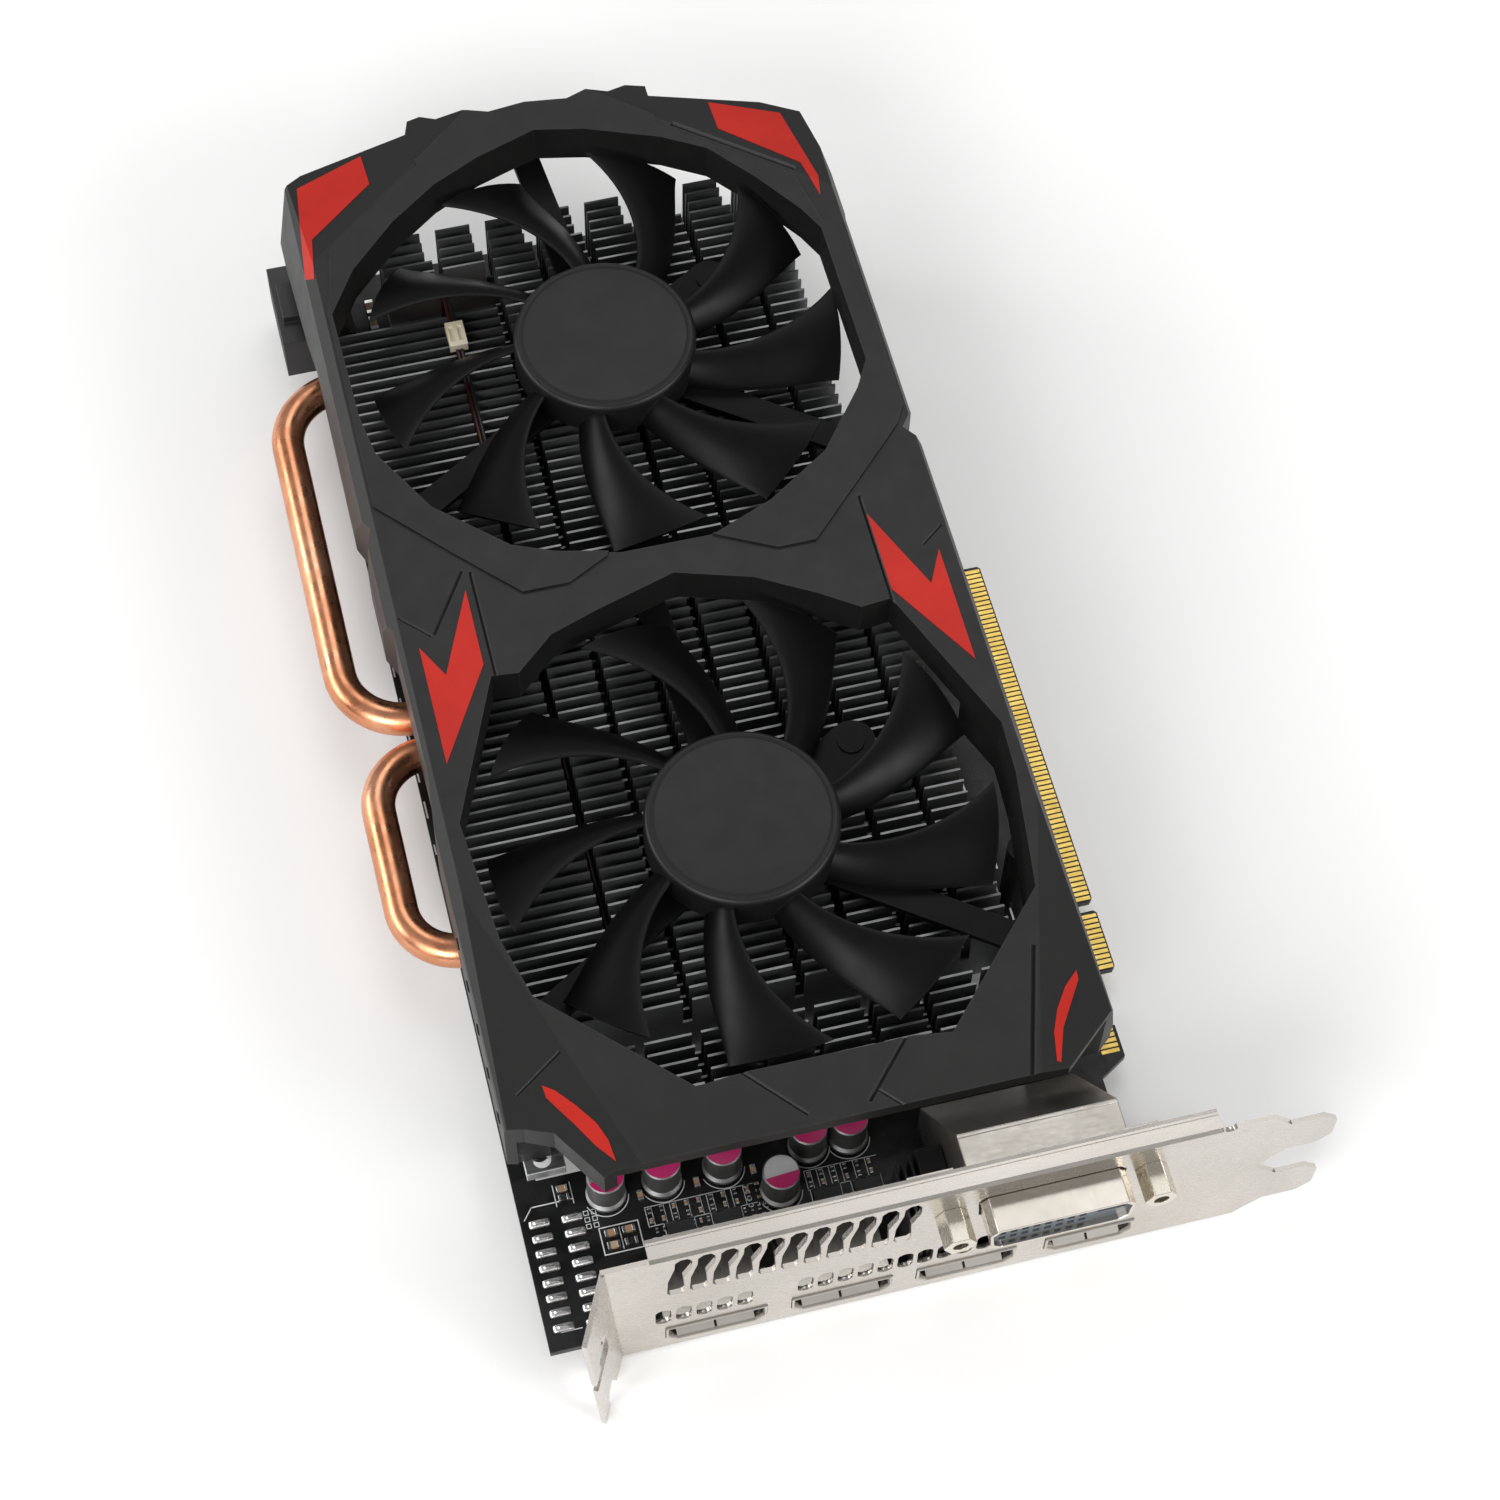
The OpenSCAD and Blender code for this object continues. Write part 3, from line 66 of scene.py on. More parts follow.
class Shader:
    """A Principled material with helpers that add procedural detail in object coordinates."""

    def __init__(self, name, rough=0.5, metal=0.0, **sockets):
        self.mat = bpy.data.materials.new(name)
        self.mat.use_nodes = True
        self.tree = self.mat.node_tree
        self.bsdf = self.tree.nodes["Principled BSDF"]
        self.bsdf.inputs["Roughness"].default_value = rough
        self.bsdf.inputs["Metallic"].default_value = metal
        for key, value in sockets.items():
            self.bsdf.inputs[key.replace("_", " ")].default_value = value
        self.coords = self.tree.nodes.new("ShaderNodeTexCoord").outputs["Object"]
        self.bump_in = None

    def link(self, a, b):
        self.tree.links.new(a, b)

    def mapped(self, stretch=(1, 1, 1)):
        """Object coordinates with each axis scaled, so that a pattern is drawn out along the smallest."""
        node = self.tree.nodes.new("ShaderNodeMapping")
        node.inputs["Scale"].default_value = stretch
        self.link(self.coords, node.inputs["Vector"])
        return node.outputs["Vector"]

    def noise(self, size, detail=3.0, stretch=(1, 1, 1), rough=0.55):
        """Noise whose features are about size mm wide."""
        node = self.tree.nodes.new("ShaderNodeTexNoise")
        node.inputs["Scale"].default_value = 1.0 / (size * MM)
        node.inputs["Detail"].default_value = detail
        node.inputs["Roughness"].default_value = rough
        self.link(self.mapped(stretch), node.inputs["Vector"])
        return node.outputs["Fac"]

    def cells(self, size):
        """Distance from the middle of cells about size mm wide."""
        node = self.tree.nodes.new("ShaderNodeTexVoronoi")
        node.inputs["Scale"].default_value = 1.0 / (size * MM)
        self.link(self.mapped(), node.inputs["Vector"])
        return node.outputs["Distance"]

    def ramp(self, fac, stops):
        """A colour from stops of (place, colour)."""
        node = self.tree.nodes.new("ShaderNodeValToRGB")
        elements = node.color_ramp.elements
        while len(elements) < len(stops):
            elements.new(0.5)
        for element, (place, colour) in zip(elements, stops):
            element.position = place
            element.color = (*colour, 1)
        self.link(fac, node.inputs["Fac"])
        return node.outputs["Color"]

    def span(self, fac, low, high, start=0.3, end=0.7):
        """fac between start and end, brought to low to high."""
        node = self.tree.nodes.new("ShaderNodeMapRange")
        node.inputs["From Min"].default_value = start
        node.inputs["From Max"].default_value = end
        node.inputs["To Min"].default_value = low
        node.inputs["To Max"].default_value = high
        self.link(fac, node.inputs["Value"])
        return node.outputs["Result"]

    def times(self, a, b):
        """The product of an output and an output or a number."""
        node = self.tree.nodes.new("ShaderNodeMath")
        node.operation = "MULTIPLY"
        self.link(a, node.inputs[0])
        if isinstance(b, float):
            node.inputs[1].default_value = b
        else:
            self.link(b, node.inputs[1])
        return node.outputs[0]

    def mix(self, fac, a, b):
        """Colour a where fac is 0 and colour b where it is 1."""
        node = self.tree.nodes.new("ShaderNodeMix")
        node.data_type = "RGBA"
        self.link(fac, node.inputs["Factor"])
        for index, value in ((6, a), (7, b)):
            if isinstance(value, tuple):
                node.inputs[index].default_value = (*value, 1)
            else:
                self.link(value, node.inputs[index])
        return node.outputs[2]

    def edges(self, radius):
        """High along the object's edges, where the normals of a rounded edge differ from the true ones."""
        bevel = self.tree.nodes.new("ShaderNodeBevel")
        bevel.samples = 4
        bevel.inputs["Radius"].default_value = radius * MM
        geometry = self.tree.nodes.new("ShaderNodeNewGeometry")
        dot = self.tree.nodes.new("ShaderNodeVectorMath")
        dot.operation = "DOT_PRODUCT"
        self.link(bevel.outputs["Normal"], dot.inputs[0])
        self.link(geometry.outputs["Normal"], dot.inputs[1])
        return self.span(dot.outputs["Value"], 1.0, 0.0, 0.9, 1.0)

    def colour(self, value):
        self.link(value, self.bsdf.inputs["Base Color"])

    def roughness(self, value):
        self.link(value, self.bsdf.inputs["Roughness"])

    def bump(self, height, depth, strength):
        """Adds a bump of the given depth in mm on top of those added before."""
        node = self.tree.nodes.new("ShaderNodeBump")
        node.inputs["Strength"].default_value = strength
        node.inputs["Distance"].default_value = depth * MM
        self.link(height, node.inputs["Height"])
        if self.bump_in is not None:
            self.link(self.bump_in, node.inputs["Normal"])
        self.bump_in = node.outputs["Normal"]
        self.link(self.bump_in, self.bsdf.inputs["Normal"])


def moulded(name, dark, light, rough, grain, depth, edge=None, **sockets):
    """Moulded plastic: fine grain, faint flow marks and slightly paler edges, partly edge wear and dust and
    partly a painted highlight.
    """
    s = Shader(name, rough, **sockets)
    tone = s.ramp(s.noise(14.0, 4.0), [(0.35, dark), (0.68, light)])
    if edge:
        # Paler edges: patchy edge wear and dust, and in part a painted highlight along the edges.
        wear_and_edge_highlight = s.times(s.edges(0.5), s.span(s.noise(3.0), 0.15, 0.75))
        tone = s.mix(wear_and_edge_highlight, tone, edge)
    s.colour(tone)
    s.roughness(s.span(s.noise(5.0, 5.0), rough - 0.03, rough + 0.04))
    s.bump(s.cells(grain), depth, 0.5)
    s.bump(s.noise(grain * 12, 2.0), depth * 2, 0.1)
    return s.mat


def metal(name, dark, light, rough, streak, streak_size, depth, blotch, spread=0.1, **sockets):
    """Bare metal: slow changes of tone (blotch mm wide), and streaks that vary its roughness by spread."""
    s = Shader(name, rough, 1.0, **sockets)
    s.colour(s.ramp(s.noise(blotch, 4.0), [(0.3, dark), (0.7, light)]))
    rub = s.noise(streak_size, 4.0, streak, 0.65)
    s.roughness(s.span(rub, rough - 0.6 * spread, rough + spread))
    s.bump(rub, depth, 0.12)
    s.bump(s.noise(blotch * 0.8, 2.0), depth * 4, 0.1)
    return s.mat


def solder_mask():
    """Black board: traces as faint raised lines, glossy mask, weave of the glass cloth below."""
    s = Shader("board_mask", 0.36, Coat_Weight=0.05, Coat_Roughness=0.2, Specular_IOR_Level=0.25)
    lanes = s.tree.nodes.new("ShaderNodeTexBrick")
    lanes.inputs["Scale"].default_value = 1.0 / (1.1 * MM)
    lanes.inputs["Mortar Size"].default_value = 0.035
    s.link(s.mapped((0.5, 1, 1)), lanes.inputs["Vector"])
    gate = s.span(s.noise(7.0, 1.0), 0.0, 1.0, 0.44, 0.52)
    traces = s.times(lanes.outputs["Fac"], gate)
    mask = s.ramp(s.noise(20.0), [(0.3, (0.0055, 0.0057, 0.0058)), (0.7, (0.008, 0.0083, 0.0083))])
    s.colour(s.mix(traces, mask, (0.015, 0.0155, 0.015)))
    s.roughness(s.span(s.noise(2.0, 4.0), 0.27, 0.42))
    s.bump(traces, 0.03, 0.6)
    s.bump(s.noise(0.5, 2.0), 0.004, 0.4)
    return s.mat


def copper():
    """Bent copper pipe: warm and pale patches, small dark stains, hammered by the bending."""
    s = Shader("pipe_copper", 0.26, 1.0)
    tones = [(0.28, (0.52, 0.2, 0.1)), (0.5, (0.72, 0.31, 0.165)), (0.72, (0.86, 0.45, 0.28))]
    stains = s.span(s.noise(2.2, 6.0), 0.0, 0.25, 0.55, 0.78)
    s.colour(s.mix(stains, s.ramp(s.noise(13.0, 5.0), tones), (0.36, 0.14, 0.075)))
    s.roughness(s.span(s.noise(3.0, 5.0), 0.2, 0.42))
    s.bump(s.noise(1.1, 5.0), 0.02, 0.45)
    s.bump(s.noise(7.0, 2.0), 0.12, 0.35)
    return s.mat


def fin_aluminium_painted_light():
    """Stamped fins: each one a little different; their dark tone is painted shade between the fins, and each
    edge carries a painted highlight.
    """
    s = Shader("fin_sheet_painted_light", 0.45, 0.85)
    each = s.noise(2.25, 1.0, (0.02, 1, 0.02))
    # Painted shade: the fins' dark grey tone stands in for the shade between the close fins.
    tone = s.ramp(each, [(0.35, (0.17, 0.174, 0.178)), (0.65, (0.27, 0.274, 0.278))])
    # Painted highlight: the edges are mixed towards pale grey, standing in for light caught on the fins' top
    # edges.
    s.colour(s.mix(s.times(s.edges(0.18), 0.35), tone, (0.62, 0.62, 0.62)))
    s.roughness(s.span(s.noise(0.5, 4.0, (0.2, 1, 1)), 0.38, 0.52))
    s.bump(s.noise(0.35, 3.0, (0.25, 1, 1)), 0.006, 0.5)
    return s.mat


BLACK_SHROUD = moulded(
    "shroud_plastic", (0.0056, 0.0055, 0.0054), (0.0074, 0.0073, 0.0071), 0.46,
    grain=0.32, depth=0.016, edge=(0.024, 0.024, 0.024), Specular_IOR_Level=0.38,
)
HUB_PLASTIC = moulded(
    "hub_plastic", (0.0052, 0.0052, 0.0052), (0.0068, 0.0068, 0.0067), 0.44,
    grain=0.25, depth=0.008, edge=(0.02, 0.02, 0.021), Specular_IOR_Level=0.34,
)
# Painted shade: the blades are a darker copy of the hub's plastic, standing in for the tilted blades
# catching less light.
BLADE_PLASTIC_PAINTED_SHADE = moulded(
    "blade_plastic_painted_shade", (0.0026, 0.0026, 0.0026), (0.0034, 0.0034, 0.0034), 0.36,
    grain=0.25, depth=0.006, edge=(0.013, 0.013, 0.014), Specular_IOR_Level=0.13,
)
FRAME_PLASTIC = moulded(
    "frame_plastic", (0.003, 0.003, 0.003), (0.0042, 0.0042, 0.0042), 0.5,
    grain=0.3, depth=0.01, edge=(0.012, 0.012, 0.012), Specular_IOR_Level=0.15,
)
SOCKET_PLASTIC = moulded(
    "socket_nylon", (0.010, 0.010, 0.011), (0.017, 0.017, 0.018), 0.42,
    grain=0.3, depth=0.01, edge=(0.04, 0.04, 0.042),
)
IVORY = moulded("ivory_nylon", (0.62, 0.55, 0.4), (0.72, 0.66, 0.52), 0.45, grain=0.3, depth=0.01)
RED_PRINT = moulded(
    "red_print", (0.41, 0.011, 0.0045), (0.48, 0.015, 0.006), 0.48,
    grain=0.32, depth=0.014, Specular_IOR_Level=0.3,
)
MAGENTA_PRINT = moulded(
    "magenta_print", (0.42, 0.008, 0.105), (0.52, 0.013, 0.135), 0.35,
    grain=0.3, depth=0.006,
)
WHITE_PRINT = moulded(
    "white_print", (0.62, 0.63, 0.63), (0.74, 0.75, 0.75), 0.6,
    grain=0.3, depth=0.004,
)
CHIP_EPOXY = moulded(
    "chip_epoxy", (0.012, 0.012, 0.013), (0.022, 0.022, 0.023), 0.5,
    grain=0.14, depth=0.008,
)
FERRITE = moulded(
    "choke_ferrite", (0.045, 0.046, 0.048), (0.075, 0.077, 0.08), 0.62,
    grain=0.2, depth=0.02,
)
LAMINATE = moulded(
    "green_laminate", (0.012, 0.07, 0.035), (0.018, 0.1, 0.05), 0.35,
    grain=0.3, depth=0.006,
)
RUBBER = moulded("dark_rubber", (0.012, 0.011, 0.01), (0.022, 0.02, 0.019), 0.7, grain=0.25, depth=0.02)
GREY_PAD = moulded("grey_pad", (0.28, 0.33, 0.36), (0.36, 0.42, 0.45), 0.8, grain=0.4, depth=0.03)
CERAMIC = moulded("tan_ceramic", (0.3, 0.18, 0.1), (0.42, 0.27, 0.16), 0.5, grain=0.2, depth=0.01)
MAGNET = moulded(
    "bonded_magnet", (0.03, 0.031, 0.033), (0.05, 0.052, 0.055), 0.6,
    grain=0.2, depth=0.02,
)
RED_WIRE = moulded("red_wire", (0.03, 0.007, 0.006), (0.045, 0.01, 0.008), 0.4, grain=0.3, depth=0.004)
PALE_CERAMIC = moulded("pale_ceramic", (0.42, 0.3, 0.19), (0.5, 0.37, 0.25), 0.5, grain=0.2, depth=0.01)
RESISTOR = moulded(
    "resistor_glaze", (0.012, 0.012, 0.014), (0.03, 0.03, 0.033), 0.3,
    grain=0.2, depth=0.004,
)
INSULATOR = moulded(
    "socket_insulator", (0.075, 0.088, 0.102), (0.1, 0.115, 0.13), 0.32,
    grain=0.3, depth=0.006,
)
BLACK_WIRE = moulded(
    "black_wire", (0.012, 0.012, 0.012), (0.02, 0.02, 0.02), 0.4,
    grain=0.3, depth=0.004,
)

NICKEL = metal(
    "bracket_nickel", (0.55, 0.515, 0.475), (0.64, 0.605, 0.565), 0.27,
    streak=(0.12, 1, 1), streak_size=0.5, depth=0.0008, blotch=30.0, spread=0.03,
)
SHELL_NICKEL = metal(
    "shell_nickel", (0.62, 0.575, 0.51), (0.74, 0.7, 0.64), 0.2,
    streak=(1, 0.2, 1), streak_size=0.4, depth=0.001, blotch=9.0, spread=0.04,
)
HOOD_TIN = metal(
    "hood_tin", (0.46, 0.43, 0.39), (0.62, 0.585, 0.54), 0.33,
    streak=(0.3, 1, 1), streak_size=0.6, depth=0.006, blotch=12.0,
)
POST_PLATE = metal(
    "post_plating", (0.66, 0.62, 0.53), (0.76, 0.72, 0.63), 0.26,
    streak=(1, 0.3, 1), streak_size=0.3, depth=0.0006, blotch=12.0, spread=0.03,
)
STEEL = metal(
    "bright_steel", (0.5, 0.51, 0.52), (0.66, 0.67, 0.68), 0.3,
    streak=(1, 1, 0.3), streak_size=0.3, depth=0.005, blotch=6.0,
)
BLACK_SCREW = metal(
    "black_zinc", (0.04, 0.04, 0.042), (0.075, 0.075, 0.08), 0.38,
    streak=(1, 1, 1), streak_size=0.3, depth=0.005, blotch=4.0,
)
PLATE_ALU = metal(
    "plate_aluminium", (0.68, 0.69, 0.7), (0.82, 0.83, 0.84), 0.34,
    streak=(0.15, 1, 1), streak_size=0.5, depth=0.006, blotch=18.0,
)
CAN_ALU = metal(
    "can_aluminium", (0.23, 0.231, 0.234), (0.3, 0.301, 0.304), 0.48,
    streak=(1, 1, 0.15), streak_size=0.3, depth=0.003, blotch=3.0, spread=0.05,
)
CAN_LID = metal(
    "can_lid", (0.62, 0.62, 0.62), (0.72, 0.72, 0.72), 0.45,
    streak=(1, 1, 1), streak_size=0.3, depth=0.003, blotch=3.0, spread=0.05,
)
RIM_NICKEL = metal(
    "rim_nickel", (0.52, 0.49, 0.45), (0.62, 0.59, 0.55), 0.3,
    streak=(1, 0.2, 1), streak_size=0.4, depth=0.001, blotch=9.0, spread=0.03, Metallic=0.85,
)
STAGE_ALU = metal(
    "stage_plate", (0.72, 0.72, 0.71), (0.84, 0.84, 0.83), 0.5,
    streak=(0.15, 1, 1), streak_size=0.5, depth=0.004, blotch=18.0, Metallic=0.35,
)
TIN = metal(
    "solder_tin", (0.6, 0.6, 0.6), (0.78, 0.78, 0.78), 0.3,
    streak=(1, 1, 1), streak_size=0.6, depth=0.02, blotch=2.0,
)
GOLD = metal(
    "contact_gold", (0.6, 0.41, 0.09), (0.74, 0.54, 0.16), 0.36,
    streak=(0.2, 1, 1), streak_size=0.4, depth=0.004, blotch=5.0,
)
BRONZE = metal(
    "sintered_bronze", (0.4, 0.26, 0.1), (0.52, 0.36, 0.17), 0.45,
    streak=(1, 1, 1), streak_size=0.2, depth=0.01, blotch=2.0,
)
LAMINATION = metal(
    "lamination_steel", (0.28, 0.28, 0.29), (0.4, 0.41, 0.42), 0.42,
    streak=(1, 1, 0.05), streak_size=0.3, depth=0.02, blotch=4.0,
)
WINDING = metal(
    "enamelled_wire", (0.5, 0.2, 0.07), (0.68, 0.3, 0.12), 0.26,
    streak=(0.1, 1, 0.1), streak_size=0.25, depth=0.05, blotch=3.0,
)
SILICON = metal(
    "die_silicon", (0.2, 0.22, 0.25), (0.28, 0.3, 0.33), 0.14,
    streak=(1, 1, 1), streak_size=1.0, depth=0.001, blotch=8.0,
)

BOARD_MASK = solder_mask()
COPPER = copper()
FIN_SHEET_PAINTED_LIGHT = fin_aluminium_painted_light()

NODE_MATERIALS = {
    "circuit_board": BOARD_MASK,
    "edge_contacts": GOLD,
    "solder_pads": TIN,
    "ceramic_parts": CERAMIC,
    "small_chips": CHIP_EPOXY,
    "capacitor_cans": CAN_ALU,
    "capacitor_marks": MAGENTA_PRINT,
    "capacitor_seals": RUBBER,
    "power_chokes": FERRITE,
    "power_transistors": CHIP_EPOXY,
    "memory_chips": CHIP_EPOXY,
    "gpu_package": LAMINATE,
    "gpu_die": SILICON,
    "thermal_pads": GREY_PAD,
    "power_socket": SOCKET_PLASTIC,
    "power_pins": GOLD,
    "bracket": NICKEL,
    "board_screws": BLACK_SCREW,
    "dvi_shell": SHELL_NICKEL,
    "dvi_insulator": INSULATOR,
    "dvi_hood": HOOD_TIN,
    "dvi_posts": POST_PLATE,
    "displayport_shells": SHELL_NICKEL,
    "displayport_tongues": SOCKET_PLASTIC,
    "hdmi_shell": SHELL_NICKEL,
    "hdmi_tongue": SOCKET_PLASTIC,
    "cold_plate": PLATE_ALU,
    "power_stage_plate": STAGE_ALU,
    "heat_pipe_near": COPPER,
    "heat_pipe_far": COPPER,
    "fin_stack_main": FIN_SHEET_PAINTED_LIGHT,
    "fin_stack_front": FIN_SHEET_PAINTED_LIGHT,
    "shroud_clip": PLATE_ALU,
    "back_brace": STEEL,
    "brace_screws": BLACK_SCREW,
    "brace_springs": STEEL,
    "shroud": BLACK_SHROUD,
    "shroud_decals": RED_PRINT,
    "fan_screws": BLACK_SCREW,
    "fan_header": IVORY,
    "fan_plug": IVORY,
}
FAN_MATERIALS = {
    "frame": FRAME_PLASTIC,
    "impeller": HUB_PLASTIC,
    "bearing": BRONZE,
    "stator": LAMINATION,
    "coils": WINDING,
    "board": LAMINATE,
    "lead": RED_WIRE,
    "magnet": MAGNET,
    "shaft": STEEL,
}
for side in FANS:
    for part, material in FAN_MATERIALS.items():
        NODE_MATERIALS[f"fan_{side}_{part}"] = material

# Radius of the rounded edges of each CAD node that shows, in mm
ROUNDED = {
    "shroud": 0.3,
    "bracket": 0.1,
    "shroud_clip": 0.15,
    "dvi_shell": 0.1,
    "dvi_hood": 0.25,
    "dvi_posts": 0.12,
    "power_socket": 0.15,
    "displayport_shells": 0.08,
    "hdmi_shell": 0.08,
    "fan_near_frame": 0.15,
    "fan_far_frame": 0.15,
    "circuit_board": 0.08,
    "small_chips": 0.06,
    "power_chokes": 0.2,
    "memory_chips": 0.06,
    "fan_plug": 0.12,
    "board_screws": 0.1,
    "brace_screws": 0.1,
    "fan_screws": 0.1,
}


def rounded(obj, radius, angle=30):
    """Rounds the edges sharper than angle, in degrees."""
    bevel = obj.modifiers.new("round", "BEVEL")
    bevel.width = radius * MM
    bevel.segments = DETAIL
    bevel.limit_method = "ANGLE"
    bevel.angle_limit = math.radians(angle)


def soften(obj, radius):
    """Merges flat facets and rounds the sharp edges, as modifiers on an unchanged mesh."""
    weld = obj.modifiers.new("weld", "WELD")
    weld.merge_threshold = 1e-7
    flat = obj.modifiers.new("flat", "DECIMATE")
    flat.decimate_type = "DISSOLVE"
    flat.angle_limit = math.radians(0.6)
    rounded(obj, radius, 28)
    normals = obj.modifiers.new("normals", "WEIGHTED_NORMAL")
    normals.keep_sharp = True
    normals.weight = 80


for name, material in NODE_MATERIALS.items():
    obj = nodes[name]
    obj.data.materials.clear()
    obj.data.materials.append(material)
for name, radius in ROUNDED.items():
    soften(nodes[name], radius)


# ---------------------------------------------------------------- mesh helpers


def piece(name, bm, material, body="card", smooth_angle=32.0):
    """Turns a bmesh, in metres, into a piece that rides on a body."""
    limit = math.radians(smooth_angle)
    bmesh.ops.recalc_face_normals(bm, faces=bm.faces)
    for edge in bm.edges:
        edge.smooth = len(edge.link_faces) == 2 and edge.calc_face_angle(0) < limit
    for face in bm.faces:
        face.smooth = True
    mesh = bpy.data.meshes.new(name)
    bm.to_mesh(mesh)
    bm.free()
    obj = bpy.data.objects.new(name, mesh)
    bpy.context.scene.collection.objects.link(obj)
    for m in material if isinstance(material, (list, tuple)) else [material]:
        obj.data.materials.append(m)
    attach(obj, body)
    return obj


def bridge(bm, a, b, slot=0):
    """Joins two rings of as many points."""
    for k in range(len(a)):
        n = (k + 1) % len(a)
        bm.faces.new([a[k], a[n], b[n], b[k]]).material_index = slot


def lathe(bm, centre, profile, steps):
    """Turns a profile of (radius, height) pairs about a vertical axis through centre."""
    rings = []
    for r, z in profile:
        if r < 1e-6:
            rings.append([bm.verts.new(at(centre[0], centre[1], z))])
        else:
            rings.append([
                bm.verts.new(at(
                    centre[0] + r * math.cos(2 * math.pi * k / steps),
                    centre[1] + r * math.sin(2 * math.pi * k / steps),
                    z,
                ))
                for k in range(steps)
            ])
    for a, b in zip(rings, rings[1:]):
        if len(a) == 1:
            for k in range(steps):
                bm.faces.new([a[0], b[k], b[(k + 1) % steps]])
        elif len(b) == 1:
            for k in range(steps):
                bm.faces.new([a[k], a[(k + 1) % steps], b[0]])
        else:
            bridge(bm, a, b)


# ---------------------------------------------------------------- fans


BLADES = 9
ROOT_R = 16.0
TIP_R = 43.0
BLADE_CAMBER = 0.9

# Radius and height of the points round the hub's section, from the middle of its face to the shaft's hole
HUB_SECTION = [
    (0, 36.97), (9, 36.96), (14.6, 36.93), (15.05, 36.9), (15.2, 36.78), (15.35, 36.78), (15.5, 36.88),
    (15.85, 36.86), (16.2, 36.66), (16.45, 36.3), (16.58, 35.9), (16.6, 35.4), (16.6, 30.0),
    (16.5, 29.65), (15.4, 29.62), (15.24, 29.8), (15.2, 35.6), (2.6, 35.6), (2.6, 34.6), (1.0, 34.6),
    (1.0, 36.2), (0, 36.2),
]


def blade_mid(u, v):
    """A point of a blade's middle surface: u from root to tip, v from the low to the high edge."""
    r = ROOT_R + (TIP_R - ROOT_R) * u
    low_angle = -19.0 * max(0.0, 1 - u) ** 1.3
    high_angle = -2.0 + 25.0 * max(0.0, u) ** 1.15
    a = math.radians(low_angle + (high_angle - low_angle) * v)
    low, high = 30.4 - 0.1 * u, 35.3 + 0.4 * u
    z = low + (high - low) * v + BLADE_CAMBER * math.sin(math.pi * v)
    return Vector((r * math.cos(a), r * math.sin(a), z))


def blade_sheet(side, nu, nv):
    """A blade's upper (side 1) or lower (side -1) surface, thinner towards its edges."""
    rows = []
    step = 0.01
    for i in range(nu + 1):
        u = i / nu
        row = []
        for j in range(nv + 1):
            v = 0.5 - 0.5 * math.cos(math.pi * j / nv)
            du = blade_mid(min(u + step, 1), v) - blade_mid(max(u - step, 0), v)
            dv = blade_mid(u, min(v + step, 1)) - blade_mid(u, max(v - step, 0))
            normal = du.cross(dv).normalized()
            half = 0.1 + 0.42 * math.sqrt(max(0.0, 1 - abs(2 * v - 1) ** 2.4))
            half *= 0.75 + 0.25 * (1 - u)
            row.append(blade_mid(u, v) + normal * side * half)
        rows.append(row)
    return rows


def impeller(side):
    """Hub and blades of one fan, each blade a closed sheet whose root is inside the hub's wall."""
    y, turn = FANS[side]
    nu, nv = 12 * DETAIL, 6 * DETAIL
    bm = bmesh.new()
    skins = {s: blade_sheet(s, nu, nv) for s in (-1, 1)}
    middle = Vector((FAN_X, y, 0))
    for k in range(BLADES):
        spin = Matrix.Rotation(math.radians(turn + 360 / BLADES * k), 3, "Z")
        grid = {
            s: [[bm.verts.new(at(*(middle + spin @ p))) for p in row] for row in skins[s]]
            for s in (-1, 1)
        }
        for s in (-1, 1):
            for i in range(nu):
                for j in range(nv):
                    quad = [grid[s][i][j], grid[s][i + 1][j], grid[s][i + 1][j + 1], grid[s][i][j + 1]]
                    bm.faces.new(quad)
        for i in range(nu):
            for j in (0, nv):
                bm.faces.new([grid[-1][i][j], grid[-1][i + 1][j], grid[1][i + 1][j], grid[1][i][j]])
        for j in range(nv):
            for i in (0, nu):
                bm.faces.new([grid[-1][i][j], grid[-1][i][j + 1], grid[1][i][j + 1], grid[1][i][j]])
    for face in bm.faces:
        face.material_index = 1
    lathe(bm, (FAN_X, y), HUB_SECTION, 72 * DETAIL)
    obj = piece(f"fan_{side}_wheel", bm, [HUB_PLASTIC, BLADE_PLASTIC_PAINTED_SHADE], f"{side}_rotor", 40.0)
    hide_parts(f"fan_{side}_impeller")


for side in FANS:
    impeller(side)


# ---------------------------------------------------------------- small parts


def skin(bm, a, b, slot):
    """Closes a solid between two rings of as many corners."""
    bm.faces.new(a[::-1]).material_index = slot
    bm.faces.new(b).material_index = slot
    bridge(bm, a, b, slot)


def block(bm, low, high, slot=0, top=0.0):
    """A box between two points in mm; its upper face is drawn in by top on every side."""
    (x0, y0, z0), (x1, y1, z1) = low, high
    base = [(x0, y0), (x1, y0), (x1, y1), (x0, y1)]
    head = [(x0 + top, y0 + top), (x1 - top, y0 + top), (x1 - top, y1 - top), (x0 + top, y1 - top)]
    a = [bm.verts.new(at(x, y, z0)) for x, y in base]
    b = [bm.verts.new(at(x, y, z1)) for x, y in head]
    skin(bm, a, b, slot)


def slab(bm, outline, z0, z1, slot=0):
    """A flat shape of the given outline."""
    a = [bm.verts.new(at(x, y, z0)) for x, y in outline]
    b = [bm.verts.new(at(x, y, z1)) for x, y in outline]
    skin(bm, a, b, slot)


PRINT_DEPTH = 0.025


def line(bm, x0, y0, x1, y1, width=0.16):
    """A printed stroke on the board."""
    along = Vector((x1 - x0, y1 - y0)).normalized() * (width / 2)
    across = Vector((-along.y, along.x))
    p, q = Vector((x0, y0)), Vector((x1, y1))
    outline = [p - along - across, q + along - across, q + along + across, p - along + across]
    slab(bm, outline, BOARD_TOP, BOARD_TOP + PRINT_DEPTH)


